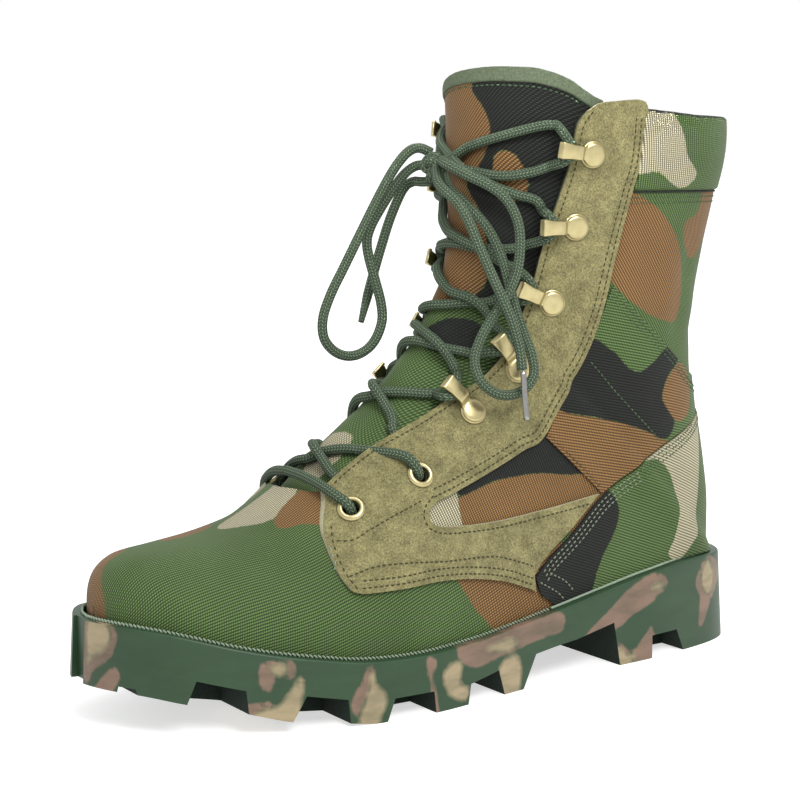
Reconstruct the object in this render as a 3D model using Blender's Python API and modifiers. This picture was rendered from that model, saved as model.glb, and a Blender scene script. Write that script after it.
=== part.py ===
"""Combat boot, left foot: hollow upper on a last function, lugged cup sole, tongue, hooks, eyelets and lace.

Sizes are in millimetres and become metres when a mesh is written. +X is the toe, +Y the outer side, +Z up.
A place on the upper is (t, arc): t runs 0 at the toe to 100 above the collar, arc is millimetres from the
ridge of the last, positive to the outer side.
"""

import math

import bmesh
import bpy
import numpy as np
from mathutils import Matrix, Vector

MM = 0.001
CENTRE_X = -0.6
CENTRE_Y = 2.5

# Driving sizes
GAP = 0.3
WALL = 2.0
SOLE_FLARE = 1.5
RIM_STEP = 1.0
RIM_LIP = 3.0
BED_DEPTH = 5.0
BED_INSET = 3.3
BASE_INSET = 6.0
BASE_SINK = 4.4
INSOLE_INSET = 10.0
INSOLE_THICK = 3.5
EYESTAY_THICK = 1.4
COUNTER_THICK = 1.1
BAND_THICK = 0.8
CUFF_OUT = 1.4
CUFF_BULGE = 1.6
CUFF_THICK = 6.0
TONGUE_LIFT = -3.2
TONGUE_THICK = 4.0
TONGUE_UNDERLAP = 9.0
BINDING_EXTRA = 0.9
BINDING_TALL = 1.65
LACE_RADIUS = 2.2
LACE_LIFT = -0.3
LACE_POINTS = 7
LACE_SIDES = 6
LACE_SAG_SHARE = 0.18
TIP_RADIUS = 1.6
EYELET_HOLE = 3.2
EYELET_OUTER = 5.6
EYELET_THICK = 1.3
EYELET_GAP = 0.5
EYELET_EDGE = 0.5
EYELET_CROWN = 0.9
EYELET_SHOULDER = 0.7
RIVET_RADIUS = 4.8
RIVET_TALL = 2.2
RIVET_TAPER = 0.8
ROUND_SIDES = 12
BAR_AHEAD = 0.4
BAR_CLEAR = 1.0
CROSSING_RISE_FIRST = 3.4
CROSSING_RISE = 2.4

# Where a lace span stops short of the throat's edge, how far ahead of its row, and how high
SPAN_AT_EYELET = (4.0, 0.0, 1.2)
SPAN_AT_HOOK = (5.5, 0.6, 1.6)

# Sole plan: station along the boot, outer edge, inner edge
SOLE_PLAN = (
    (-151.0, 0.0, 0.0),
    (-150.2, 7.5, -7.5),
    (-148.0, 13.6, -13.6),
    (-144.0, 20.3, -20.3),
    (-138.0, 26.5, -26.3),
    (-128.0, 31.5, -32.0),
    (-112.0, 35.8, -36.5),
    (-90.0, 40.0, -38.5),
    (-65.0, 42.3, -37.0),
    (-40.0, 44.8, -36.0),
    (-15.0, 49.5, -38.0),
    (10.0, 54.5, -43.0),
    (35.0, 57.9, -48.5),
    (55.0, 57.8, -52.0),
    (75.0, 55.0, -53.0),
    (95.0, 50.2, -50.5),
    (112.0, 43.8, -46.0),
    (126.0, 35.5, -40.0),
    (137.0, 25.8, -32.5),
    (144.0, 16.8, -25.0),
    (148.0, 8.5, -17.5),
    (150.2, 1.0, -11.0),
    (151.0, -5.0, -5.0),
)

# Height of the sole's rim along the boot
RIM_HEIGHT = (
    (-151.0, 37.0),
    (-135.0, 38.2),
    (-118.0, 38.5),
    (-90.0, 36.4),
    (-65.0, 32.6),
    (-40.0, 28.6),
    (-15.0, 25.6),
    (10.0, 23.6),
    (40.0, 22.7),
    (60.0, 23.8),
    (80.0, 26.9),
    (95.0, 29.8),
    (110.0, 33.4),
    (122.0, 36.8),
    (132.0, 39.2),
    (143.0, 40.7),
    (151.0, 40.8),
)

# Height of the lug bottoms: flat under heel and ball, then the toe spring
GROUND_HEIGHT = (
    (-151.0, 0.0),
    (55.0, 0.0),
    (68.0, 1.5),
    (90.0, 4.6),
    (106.0, 9.0),
    (126.0, 13.3),
    (140.0, 16.2),
    (151.0, 17.0),
)

# Notches between the edge lugs: front and rear edge at the ground, the same at the roof, rise, reach inwards
NOTCHES = (
    ("toe", 145.4, 140.3, 145.0, 140.7, 2.0, 10.0),
    ("ball_front", 126.2, 106.3, 123.0, 106.8, 8.5, 17.0),
    ("ball_mid", 90.5, 68.5, 85.0, 69.0, 9.0, 18.0),
    ("ball_rear", 53.2, 31.2, 49.4, 31.7, 8.4, 18.0),
    ("heel", -89.4, -109.6, -89.9, -105.4, 9.7, 15.0),
)

# Hollows under the waist, as outlines in side view
WAIST_FRONT = ((15.4, -3.0), (12.8, 7.8), (-2.5, 10.3), (-6.0, -3.0))
WAIST_REAR = ((-14.0, -3.0), (-24.0, 12.8), (-47.5, 14.8), (-68.2, 18.5), (-71.4, -3.0))

# Flat front of the toe: outline in side view and its span across
TOE_FACE = ((148.9, -5.0), (170.0, -5.0), (170.0, 60.0), (148.9, 60.0))
TOE_FACE_SPAN = (-11.0, 0.4)

# Channels in the tread: rear end, front end, half width, rise
CHANNELS = (("ball", 20.0, 120.0, 5.0, 5.5), ("heel", -135.0, -76.0, 6.0, 6.0))

# Upper over the foot: ridge point, base station, bulge past the base line, height share of the widest
# point, squareness of the crown and of the part below it
FOOT_SECTIONS = (
    # ridge_x, ridge_y, ridge_z, base_x, bulge_out, bulge_in, widest, crown, low_round
    (144.6, -4.0, 45.0, 144.6, 0.5, 0.5, 0.60, 2.2, 2.0),
    (142.8, -4.2, 53.5, 142.4, 0.5, 0.5, 0.64, 2.2, 2.0),
    (138.0, -4.5, 60.0, 137.0, 0.8, 0.8, 0.68, 2.2, 2.0),
    (129.0, -5.0, 63.8, 127.0, 1.0, 1.0, 0.71, 2.2, 2.0),
    (115.0, -5.5, 65.2, 113.0, 1.2, 1.0, 0.74, 2.2, 2.0),
    (98.0, -6.0, 67.2, 95.0, 1.4, 1.4, 0.75, 2.2, 1.6),
    (82.0, -6.0, 71.5, 76.0, 1.4, 1.4, 0.76, 2.1, 1.4),
    (67.0, -5.5, 80.0, 56.0, 1.2, 1.8, 0.77, 2.05, 1.3),
    (54.0, -5.0, 91.5, 34.0, 1.0, 2.2, 0.78, 2.0, 1.2),
    (41.0, -4.0, 103.0, 10.0, 1.2, 3.4, 0.78, 2.0, 1.2),
    (29.0, -3.0, 113.5, -18.0, 2.0, 4.2, 0.76, 2.0, 1.2),
    (18.0, -2.0, 123.5, -48.0, 3.2, 4.6, 0.74, 2.0, 1.2),
    (9.0, -1.0, 133.0, -78.0, 3.6, 4.4, 0.72, 2.0, 1.2),
    (2.0, 0.0, 142.0, -104.0, 4.8, 5.0, 0.68, 2.0, 1.4),
    (-3.0, 0.0, 150.0, -123.0, 8.4, 8.4, 0.64, 2.0, 1.7),
    (-7.0, 0.0, 157.5, -136.5, 16.0, 16.0, 0.61, 2.0, 1.9),
    (-10.0, 0.0, 164.0, -143.6, 25.6, 25.6, 0.58, 1.95, 1.95),
)

# Upper over heel and shaft: front point, back point, half width, widest, squareness in front and behind
SHAFT_SECTIONS = (
    # front_x, front_z, back_x, back_z, half, widest, crown, back
    (-12.0, 170.0, -145.9, 36.5, 34.8, 0.56, 2.0, 1.95),
    (-14.0, 177.0, -146.2, 52.0, 34.8, 0.55, 2.1, 1.95),
    (-15.5, 185.0, -143.5, 74.0, 35.0, 0.54, 2.2, 1.95),
    (-16.5, 193.0, -138.5, 98.0, 35.5, 0.53, 2.2, 2.0),
    (-17.0, 201.0, -135.5, 121.0, 36.5, 0.52, 2.3, 2.05),
    (-17.3, 210.0, -136.5, 145.0, 38.0, 0.52, 2.3, 2.1),
    (-17.6, 219.0, -141.0, 170.0, 40.0, 0.52, 2.3, 2.1),
    (-18.0, 228.5, -147.0, 195.0, 42.0, 0.52, 2.3, 2.1),
    (-18.0, 240.0, -151.0, 228.0, 43.5, 0.52, 2.3, 2.1),
    (-18.5, 258.0, -153.0, 250.0, 44.5, 0.52, 2.3, 2.1),
)

# Throat: place along the boot, half opening on the outer and the inner side, along the section
THROAT = (
    (23.6, 0.0, 0.0),
    (24.2, 12.0, 12.0),
    (25.0, 20.5, 20.5),
    (26.3, 24.4, 24.4),
    (30.2, 24.7, 24.7),
    (34.3, 25.6, 25.6),
    (39.7, 28.2, 28.0),
    (45.3, 30.8, 30.0),
    (53.6, 36.9, 34.5),
    (59.3, 40.8, 37.0),
    (66.6, 43.8, 38.0),
    (74.6, 46.3, 39.5),
    (81.9, 51.5, 43.0),
    (86.1, 54.3, 46.0),
    (90.7, 56.0, 48.0),
    (93.1, 60.4, 52.5),
    (94.4, 66.0, 58.0),
    (94.9, 71.0, 63.0),
)
COLLAR_AT = 94.9
TONGUE_FOOT_AT = 22.4
TONGUE_FREE_AT = 90.0
TONGUE_LEVEL_AT = 29.0
TONGUE_DIP = 2.4
TONGUE_COLUMNS = (-1.2, -1.0, -0.5, 0.0, 0.5, 1.0, 1.2)

# Tongue's top edge: millimetres from the ridge, positive to the outer side, and place along the boot
TONGUE_TOP = (
    (-80.0, 96.7),
    (-30.0, 96.7),
    (-14.0, 96.8),
    (-2.0, 97.1),
    (9.0, 97.4),
    (24.0, 97.6),
    (37.0, 97.6),
    (45.0, 97.3),
    (54.0, 96.8),
    (60.0, 96.7),
    (80.0, 96.7),
)

# Overlay outlines in side view, x and z, clockwise from the top
EYESTAY_OUTLINE = (
    (-30.0, 262.0),
    (-84.0, 262.0),
    (-81.6, 235.0),
    (-80.6, 211.0),
    (-77.8, 196.0),
    (-71.6, 169.0),
    (-66.9, 147.6),
    (-57.8, 126.0),
    (-39.5, 99.6),
    (-26.4, 93.7),
    (-13.0, 88.9),
    (8.3, 79.9),
    (18.4, 74.9),
    (22.6, 72.3),
    (23.3, 70.4),
    (21.4, 68.9),
    (-2.9, 68.1),
    (-32.0, 69.3),
    (-64.0, 72.6),
    (-47.6, 60.4),
    (-33.6, 50.6),
    (-27.0, 44.0),
    (-28.0, 37.0),
    (-22.9, 39.3),
    (-10.5, 43.9),
    (7.3, 47.6),
    (24.0, 49.1),
    (41.9, 48.7),
    (57.0, 48.6),
    (63.2, 51.4),
    (66.6, 56.9),
    (67.0, 63.3),
    (65.2, 70.6),
    (60.0, 79.0),
    (56.0, 86.0),
    (60.0, 112.0),
    (20.0, 150.0),
)
COUNTER_OUTLINE = (
    (-165.0, 103.0),
    (-138.0, 101.5),
    (-123.2, 96.6),
    (-99.8, 88.6),
    (-82.4, 79.6),
    (-65.2, 70.8),
    (-48.4, 58.2),
    (-34.6, 48.6),
    (-28.2, 42.6),
    (-31.0, 35.6),
    (-36.0, 32.0),
    (-42.0, 29.5),
    (-65.0, 33.2),
    (-90.0, 37.0),
    (-118.0, 39.1),
    (-135.0, 38.8),
    (-165.0, 37.8),
)
BAND_OUTLINE = (
    (-72.0, 158.6),
    (-92.5, 140.2),
    (-123.7, 118.2),
    (-165.0, 108.0),
    (-165.0, 103.8),
    (-138.0, 102.3),
    (-123.0, 97.4),
    (-99.5, 89.4),
    (-82.0, 80.4),
    (-66.0, 72.8),
    (-40.0, 98.0),
    (-58.6, 126.4),
    (-67.8, 148.0),
)
CUFF_OUTLINE = ((-79.4, 197.4), (-165.0, 196.4), (-165.0, 227.0), (-112.0, 228.4), (-82.4, 231.0))
CUFF_CUT = ((-78.8, 196.8), (-170.0, 195.8), (-170.0, 262.0), (-84.0, 262.0), (-81.4, 231.0))

# Lacing, foot to collar: place and arc of the eyelet or rivet on each side, strap turn down, degrees
LACING = (
    # outer_t, outer_arc, outer_turn, inner_t, inner_arc, inner_turn
    (26.7, 40.6, 0.0, 26.7, 40.6, 0.0),
    (36.2, 46.5, 0.0, 36.2, 45.5, 0.0),
    (48.0, 41.8, 4.0, 48.4, 39.6, 2.0),
    (57.4, 48.0, -10.0, 59.0, 43.0, 8.0),
    (67.0, 54.6, 16.0, 69.2, 46.6, 14.0),
    (79.0, 60.2, 28.0, 82.0, 51.0, 10.0),
    (88.0, 63.6, 8.0, 90.0, 56.0, 0.0),
)
EYELET_ROWS = 2

# Hook strap in side view: run from the rivet towards the throat, height over the eyestay
STRAP_SIDE = (
    (0.0, 0.3),
    (5.4, 0.3),
    (7.4, 3.9),
    (15.0, 4.9),
    (16.2, 3.6),
    (17.3, 4.4),
    (15.6, 6.4),
    (6.6, 5.3),
    (4.4, 1.7),
    (0.0, 1.7),
)
STRAP_HALF = 2.8

# Bow, as cord paths: one row per fold
KNOT_AT = (-14.2, -5.0, 208.0)
KNOT_RADIUS = 4.2
KNOT_START = 30.0
KNOT_TURN = 300.0
KNOT_POINTS = 10
LOOP_INNER = (
    (-14.0, -10.6, 214.0),
    (-9.6, -12.6, 216.0),
    (-3.9, -12.4, 214.4),
    (3.2, -12.0, 207.6),
    (10.6, -12.0, 196.7),
    (18.9, -12.0, 183.1),
    (27.2, -12.0, 169.2),
    (34.0, -12.0, 157.8),
    (37.9, -12.0, 148.2),
    (37.6, -12.0, 140.1),
    (33.0, -12.0, 134.5),
    (26.5, -12.0, 132.0),
    (19.3, -12.0, 133.2),
    (13.2, -12.4, 137.8),
    (9.4, -13.0, 145.4),
    (9.4, -13.6, 152.8),
    (11.2, -14.4, 161.1),
    (13.6, -15.6, 171.4),
    (13.9, -16.6, 178.3),
    (11.6, -17.0, 184.4),
    (6.2, -17.0, 192.4),
    (0.2, -17.0, 200.0),
    (-5.6, -16.8, 206.0),
    (-10.4, -15.6, 208.8),
    (-13.6, -12.0, 208.6),
)
END_INNER = (
    (-13.6, -9.8, 202.2),
    (-13.0, -16.4, 202.0),
    (-11.6, -21.4, 202.0),
    (-8.2, -23.6, 198.8),
    (-2.2, -23.6, 188.0),
    (3.1, -23.2, 175.3),
    (9.1, -22.6, 159.3),
    (14.1, -22.0, 144.6),
)
LOOP_OUTER = (
    (-13.0, 0.8, 211.0),
    (-5.6, 12.0, 210.0),
    (-9.4, 23.0, 205.0),
    (-15.5, 30.6, 200.3),
    (-20.5, 34.9, 194.7),
    (-24.1, 36.8, 186.3),
    (-24.6, 37.6, 176.9),
    (-22.4, 38.4, 166.6),
    (-18.0, 37.6, 157.1),
    (-13.4, 34.4, 148.7),
    (-8.4, 33.2, 140.5),
    (-5.3, 33.3, 132.4),
    (-5.4, 36.1, 125.1),
    (-9.1, 39.0, 120.0),
    (-14.7, 40.8, 117.9),
    (-22.2, 41.6, 119.1),
    (-28.4, 41.0, 124.7),
    (-29.6, 38.4, 132.6),
    (-28.6, 34.6, 141.0),
    (-24.8, 34.2, 151.0),
    (-22.4, 33.0, 161.5),
    (-21.6, 29.0, 172.0),
    (-17.6, 25.4, 183.3),
    (-12.6, 18.6, 192.6),
    (-9.8, 9.0, 199.6),
    (-13.0, 1.0, 204.4),
)
END_OUTER = (
    (-8.4, 1.6, 207.4),
    (-2.0, 14.0, 201.0),
    (-4.0, 22.5, 195.0),
    (-6.4, 28.0, 187.0),
    (-9.6, 33.0, 174.0),
    (-12.6, 38.8, 161.0),
    (-16.4, 42.6, 149.0),
    (-19.0, 44.8, 137.0),
    (-19.6, 45.6, 128.4),
)
TIP_OUTER = ((-19.6, 46.4, 127.6), (-19.4, 47.6, 117.7), (-19.3, 49.0, 108.6))

# Materials: base colour, roughness, metallic
MATERIALS = {
    "rubber": ((0.07, 0.12, 0.08, 1.0), 0.55, 0.0),
    "camouflage_nylon": ((0.10, 0.14, 0.06, 1.0), 0.75, 0.0),
    "suede": ((0.23, 0.20, 0.11, 1.0), 0.9, 0.0),
    "lining": ((0.05, 0.06, 0.05, 1.0), 0.9, 0.0),
    "binding_tape": ((0.12, 0.18, 0.10, 1.0), 0.8, 0.0),
    "brass": ((0.72, 0.62, 0.38, 1.0), 0.3, 1.0),
    "lace_cord": ((0.08, 0.12, 0.08, 1.0), 0.8, 0.0),
    "steel_tip": ((0.6, 0.6, 0.6, 1.0), 0.3, 1.0),
}

# How finely the forms are stepped, and how far cutters run past them
DENSE = 72
PLAN_STEPS = 241
T_STEP = 0.15
V_STEP = 0.012
WELD = 0.00005
SOLE_STATIONS = 33
LIP_STATIONS = 31
BED_STATIONS = 25
INSOLE_STATIONS = 27
SOLE_END = 0.06
INSOLE_END = 0.12
CHANNEL_STEPS = 9
COLUMNS = 9
STATION_SPLIT = 5.6
STATION_CLOSE = 0.35
TONGUE_FREE_ROWS = 4
TAPE_ROWS = 3
TAPE_SEAM = 0.12
HALF_SPAN = 90.0
RIDGE_LINE = -5.0
CUT_PAST = 30.0
CUT_ABOVE = 40.0
CUT_BELOW = 6.0
CUT_STEP = 0.01
HOLE_DEPTH = 16.0
TUBE_UP = (0.3, 0.2, 1.0)

# Places where the overlays' grids begin and end
EYESTAY_FROM = 16.0
BEHIND_FROM = 36.0
BEHIND_TO = 84.0
CUFF_FROM = 76.0
CUFF_TO = 97.4
CUFF_MIDDLE_X = -85.0

# The upper's columns close up towards the back seam, more and more from this place to the heel
CROWD_FROM = 40.0
BACK_CROWD = 0.35


class Curve:
    """A smooth table: monotone cubic through rows given at rising stations."""

    def __init__(self, at, rows):
        self.at = np.asarray(at, float)
        self.rows = np.asarray(rows, float)
        rate = np.diff(self.rows, axis=0) / np.diff(self.at)[:, None]
        product = rate[:-1] * rate[1:]
        total = np.where(product > 0, rate[:-1] + rate[1:], 1.0)
        inner = np.where(product > 0, 2 * product / total, 0.0)
        self.slope = np.concatenate([rate[:1], inner, rate[-1:]])

    def __call__(self, place):
        i = int(np.clip(np.searchsorted(self.at, place) - 1, 0, len(self.at) - 2))
        span = self.at[i + 1] - self.at[i]
        u = (place - self.at[i]) / span
        start = (1 + 2 * u) * (1 - u) ** 2 * self.rows[i] + u * (1 - u) ** 2 * span * self.slope[i]
        return start + u * u * (3 - 2 * u) * self.rows[i + 1] + u * u * (u - 1) * span * self.slope[i + 1]


def table(rows):
    """A Curve from rows whose first column is the station."""
    rows = np.asarray(rows, float)
    return Curve(rows[:, 0], rows[:, 1:])


plan_curve = table(SOLE_PLAN)
rim_curve = table(RIM_HEIGHT)
ground_curve = table(GROUND_HEIGHT)
throat_curve = table(THROAT)
tongue_top_curve = table(TONGUE_TOP)


def rim(x):
    return float(rim_curve(x)[0])


def ground(x):
    return float(ground_curve(x)[0])


class Plan:
    """The sole's outline moved inwards by inset, square to its edge."""

    def __init__(self, inset):
        first, last = SOLE_PLAN[0][0], SOLE_PLAN[-1][0]
        turn = np.linspace(0.0, math.pi, PLAN_STEPS)
        xs = (first + last) / 2 - (last - first) / 2 * np.cos(turn)
        edges = np.array([plan_curve(x) for x in xs])
        self.sides = []
        for column, sign in ((0, 1.0), (1, -1.0)):
            line = np.stack([xs, edges[:, column]], 1)
            run = np.gradient(line, axis=0)
            run[0] = (0.0, sign)
            run[-1] = (0.0, -sign)
            run /= np.linalg.norm(run, axis=1)[:, None]
            inward = np.stack([run[:, 1], -run[:, 0]], 1) * sign
            self.sides.append(line + inset * inward)
        self.low = max(side[0, 0] for side in self.sides)
        self.high = min(side[-1, 0] for side in self.sides)

    def edge(self, x):
        """Outer and inner edge at station x."""
        return [float(np.interp(x, side[:, 0], side[:, 1])) for side in self.sides]

    def stations(self, count, end_share):
        """Stations crowded towards both ends, stopping end_share of the turn short of them."""
        turn = np.linspace(end_share, math.pi - end_share, count)
        return (self.low + self.high) / 2 - (self.high - self.low) / 2 * np.cos(turn)


def section_rows():
    """One array of sections for the whole upper: ridge, base, edges and squareness."""
    base = Plan(BASE_INSET)
    rows = []
    for x, y, z, base_x, bulge_out, bulge_in, widest, crown, low in FOOT_SECTIONS:
        out, inn = base.edge(base_x)
        foot = rim(base_x) - BASE_SINK
        rows.append((x, y, z, base_x, foot, out + bulge_out, inn - bulge_in, out, inn, widest, crown, low))
    for x, z, back_x, back_z, half, widest, crown, back in SHAFT_SECTIONS:
        rows.append((x, 0.0, z, back_x, back_z, half, -half, 0.0, 0.0, widest, crown, back))
    rows = np.array(rows)
    ridge_run = np.linalg.norm(np.diff(rows[:, [0, 2]], axis=0), axis=1)
    base_run = np.linalg.norm(np.diff(rows[:, [3, 4]], axis=0), axis=1)
    at = np.concatenate([[0.0], np.cumsum(ridge_run + base_run)])
    return Curve(100.0 * at / at[-1], rows)


sections = section_rows()
HEEL_AT = float(sections.at[len(FOOT_SECTIONS)])
quarter = np.linspace(0.0, math.pi / 2, DENSE)


def half_arch(t, side):
    """Dense half section from the ridge down to the base or back seam."""
    x, y, z, base_x, base_z, out, inn, base_out, base_in, widest, crown, back = sections(t)
    wide, low = (out, base_out) if side > 0 else (inn, base_in)
    above = y + (wide - y) * np.sin(quarter) ** (2 / crown)
    below = low + (wide - low) * np.cos(quarter) ** (2 / back)
    share_above = widest * (1 - np.cos(quarter) ** (2 / crown))
    share_below = widest + (1 - widest) * np.sin(quarter) ** (2 / back)
    across = np.concatenate([above, below[1:]])
    share = np.concatenate([share_above, share_below[1:]])
    line = np.stack([x + (base_x - x) * share, across, z + (base_z - z) * share], 1)
    run = np.concatenate([[0.0], np.cumsum(np.linalg.norm(np.diff(line, axis=0), axis=1))])
    return line, run


def girth(t, side):
    """Length of a half section."""
    return half_arch(t, side)[1][-1]


def ring(t, v):
    """Points of section t at signed shares v: -1 inner base, 0 ridge, 1 outer base."""
    points = np.empty((len(v), 3))
    for side in (1, -1):
        pick = v >= 0 if side > 0 else v < 0
        line, run = half_arch(t, side)
        along = np.abs(v[pick]) * run[-1]
        points[pick] = np.stack([np.interp(along, run, line[:, k]) for k in range(3)], 1)
    return points


def skin(t, v, lift=0.0):
    """Points on the upper's surface moved out by lift along its normal."""
    v = np.asarray(v, float)
    along = ring(min(t + T_STEP, 100.0), v) - ring(max(t - T_STEP, 0.0), v)
    across = ring(t, np.minimum(v + V_STEP, 1.0)) - ring(t, np.maximum(v - V_STEP, -1.0))
    normal = np.cross(across, along)
    if t >= HEEL_AT:
        normal[np.abs(v) > 1 - V_STEP / 2, 1] = 0.0
    normal /= np.linalg.norm(normal, axis=1)[:, None]
    return ring(t, v) + lift * normal


def place(t, arc, lift=0.0):
    """One point at arc millimetres from the ridge."""
    share = arc / girth(t, 1 if arc >= 0 else -1)
    return skin(t, [share], lift)[0]


def frame_at(t, arc, lift, turn):
    """Matrix on the surface: z out, x towards the throat and turned up by turn degrees."""
    at = place(t, arc, lift)
    out = Vector(place(t, arc, lift + 1.0) - at).normalized()
    inwards = Vector(place(t, arc - math.copysign(2.0, arc), lift) - at).normalized()
    side = out.cross(inwards).normalized()
    inwards = side.cross(out).normalized()
    spin = Matrix.Rotation(math.radians(turn) * math.copysign(1.0, arc), 3, out)
    x_axis = spin @ inwards
    y_axis = out.cross(x_axis)
    turned = Matrix((x_axis, y_axis, out)).transposed().to_4x4()
    return Matrix.Translation(metres(at)) @ turned


def metres(point):
    return Vector(((point[0] - CENTRE_X) * MM, (point[1] - CENTRE_Y) * MM, point[2] * MM))


boot = bpy.data.collections.new("combat_boot")
helpers = bpy.data.collections.new("cutters")


def material(name):
    found = bpy.data.materials.get(name)
    if found:
        return found
    colour, rough, metal = MATERIALS[name]
    made = bpy.data.materials.new(name)
    made.use_nodes = True
    shader = made.node_tree.nodes["Principled BSDF"]
    shader.inputs["Base Color"].default_value = colour
    shader.inputs["Roughness"].default_value = rough
    shader.inputs["Metallic"].default_value = metal
    return made


def add_object(name, bm, made_of=None):
    """Writes a bmesh as a node, or as a hidden cutter when it has no material."""
    mesh = bpy.data.meshes.new(name)
    bm.to_mesh(mesh)
    bm.free()
    made = bpy.data.objects.new(name, mesh)
    if made_of:
        mesh.materials.append(material(made_of))
        boot.objects.link(made)
    else:
        made.hide_render = True
        made.display_type = "WIRE"
        helpers.objects.link(made)
    return made


def sheet(bm, stations, shares, lift, flip):
    """A grid mapped onto the surface: shares(t) gives the signed columns of each station."""
    columns = [shares(t) for t in stations]
    count = len(columns[0])
    made = bmesh.ops.create_grid(bm, x_segments=len(stations) - 1, y_segments=count - 1, size=1.0)["verts"]
    rows = [skin(t, v, lift(t) if callable(lift) else lift) for t, v in zip(stations, columns)]
    for vert in made:
        i = round((vert.co.x + 1) / 2 * (len(stations) - 1))
        j = round((vert.co.y + 1) / 2 * (count - 1))
        vert.co = metres(rows[i][j])
    faces = list({face for vert in made for face in vert.link_faces})
    if flip:
        bmesh.ops.reverse_faces(bm, faces=faces)
    bmesh.ops.triangulate(bm, faces=faces, quad_method="FIXED")
    return made


def throat_share(t, side):
    """Signed share of the throat's edge at t, 0 below the throat."""
    if t <= THROAT[0][0]:
        return 0.0
    opening = throat_curve(min(t, COLLAR_AT))[0 if side > 0 else 1]
    return side * float(opening) / girth(t, side)


def side_shares(side, count, end=1.0):
    def shares(t):
        crowd = 1.0 + BACK_CROWD * min(max((t - CROWD_FROM) / (HEEL_AT - CROWD_FROM), 0.0), 1.0)
        spread = 1.0 - (1.0 - np.linspace(0.0, 1.0, count)) ** crowd
        return throat_share(t, side) + (side * end - throat_share(t, side)) * spread

    return shares


def solidify(made, thick, offset):
    step = made.modifiers.new("wall", "SOLIDIFY")
    step.thickness = thick * MM
    step.offset = offset
    step.use_even_offset = True
    step.use_quality_normals = True


def boolean(made, other, operation):
    step = made.modifiers.new(operation.lower(), "BOOLEAN")
    step.operation = operation
    step.solver = "EXACT"
    if isinstance(other, bpy.types.Collection):
        step.operand_type = "COLLECTION"
        step.collection = other
    else:
        step.object = other


def prism(name, outline, near, far):
    """A side-view outline drawn out across the boot from near to far."""
    bm = bmesh.new()
    verts = [bm.verts.new(metres((x, near, z))) for x, z in outline]
    face = bm.faces.new(verts)
    grown = bmesh.ops.extrude_face_region(bm, geom=[face])["geom"]
    moved = [item for item in grown if isinstance(item, bmesh.types.BMVert)]
    bmesh.ops.translate(bm, vec=(0.0, (far - near) * MM, 0.0), verts=moved)
    bmesh.ops.recalc_face_normals(bm, faces=bm.faces)
    return add_object(name, bm)


def loft(name, stations, corners, made_of=None):
    """A block drawn through a loop of corners at each station, capped at both ends."""
    loops = [corners(x) for x in stations]
    count = len(loops[0])
    bm = bmesh.new()
    rows = [[bm.verts.new(metres(corner)) for corner in loop] for loop in loops]
    for first, second in zip(rows, rows[1:]):
        for k in range(count):
            n = (k + 1) % count
            bm.faces.new((first[k], first[n], second[n], second[k]))
    bm.faces.new(rows[0])
    bm.faces.new(rows[-1])
    bmesh.ops.recalc_face_normals(bm, faces=bm.faces)
    return add_object(name, bm, made_of)


def make_outsole():
    wall, foot = Plan(0.0), Plan(-SOLE_FLARE)
    lip, bed = Plan(RIM_STEP), Plan(BED_INSET)

    def block(x):
        share = (x - wall.low) / (wall.high - wall.low)
        foot_x = foot.low + (foot.high - foot.low) * share
        out, inn = wall.edge(x)
        foot_out, foot_in = foot.edge(foot_x)
        top = rim(x) - RIM_LIP
        low = ground(x)
        return (foot_x, foot_out, low), (x, out, top), (x, inn, top), (foot_x, foot_in, low)

    def lip_block(x):
        out, inn = lip.edge(x)
        low, high = rim(x) - 2 * RIM_LIP, rim(x)
        return (x, out, low), (x, out, high), (x, inn, high), (x, inn, low)

    def bed_block(x):
        out, inn = bed.edge(x)
        low = rim(x) - BED_DEPTH
        high = low + CUT_ABOVE
        return (x, out, low), (x, out, high), (x, inn, high), (x, inn, low)

    sole = loft("outsole", wall.stations(SOLE_STATIONS, SOLE_END), block, "rubber")
    boolean(sole, loft("rim_lip", lip.stations(LIP_STATIONS, SOLE_END), lip_block), "UNION")
    boolean(sole, loft("sole_bed", bed.stations(BED_STATIONS, SOLE_END), bed_block), "DIFFERENCE")
    tread = bpy.data.collections.new("tread_cutters")
    helpers.children.link(tread)
    cutters = [
        prism("waist_front", WAIST_FRONT, -HALF_SPAN, HALF_SPAN),
        prism("waist_rear", WAIST_REAR, -HALF_SPAN, HALF_SPAN),
        prism("toe_face", TOE_FACE, *TOE_FACE_SPAN),
    ]
    for name, front, rear, roof_front, roof_rear, rise, reach in NOTCHES:
        outline = (
            (front, ground(front) - CUT_BELOW),
            (front, ground(front) - CUT_STEP),
            (roof_front, ground(front) + rise),
            (roof_rear, ground(rear) + rise),
            (rear, ground(rear) - CUT_STEP),
            (rear, ground(rear) - CUT_BELOW),
        )
        out, inn = wall.edge((front + rear) / 2)
        cutters.append(prism(f"notch_{name}_outer", outline, out - reach, out + CUT_PAST))
        cutters.append(prism(f"notch_{name}_inner", outline, inn - CUT_PAST, inn + reach))
    for name, rear, front, half, rise in CHANNELS:
        outline = [(x, ground(x) + rise) for x in np.linspace(front, rear, CHANNEL_STEPS)]
        outline += [(rear, -CUT_BELOW), (front, -CUT_BELOW)]
        cutters.append(prism(f"channel_{name}", outline, -half, half))
    for cutter in cutters:
        helpers.objects.unlink(cutter)
        tread.objects.link(cutter)
    boolean(sole, tread, "DIFFERENCE")


def make_insole():
    edge = Plan(INSOLE_INSET)

    def board(x):
        out, inn = edge.edge(x)
        low = rim(x) - BED_DEPTH + GAP
        return (x, out, low), (x, out, low + INSOLE_THICK), (x, inn, low + INSOLE_THICK), (x, inn, low)

    loft("insole", edge.stations(INSOLE_STATIONS, INSOLE_END), board, "lining")


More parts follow.
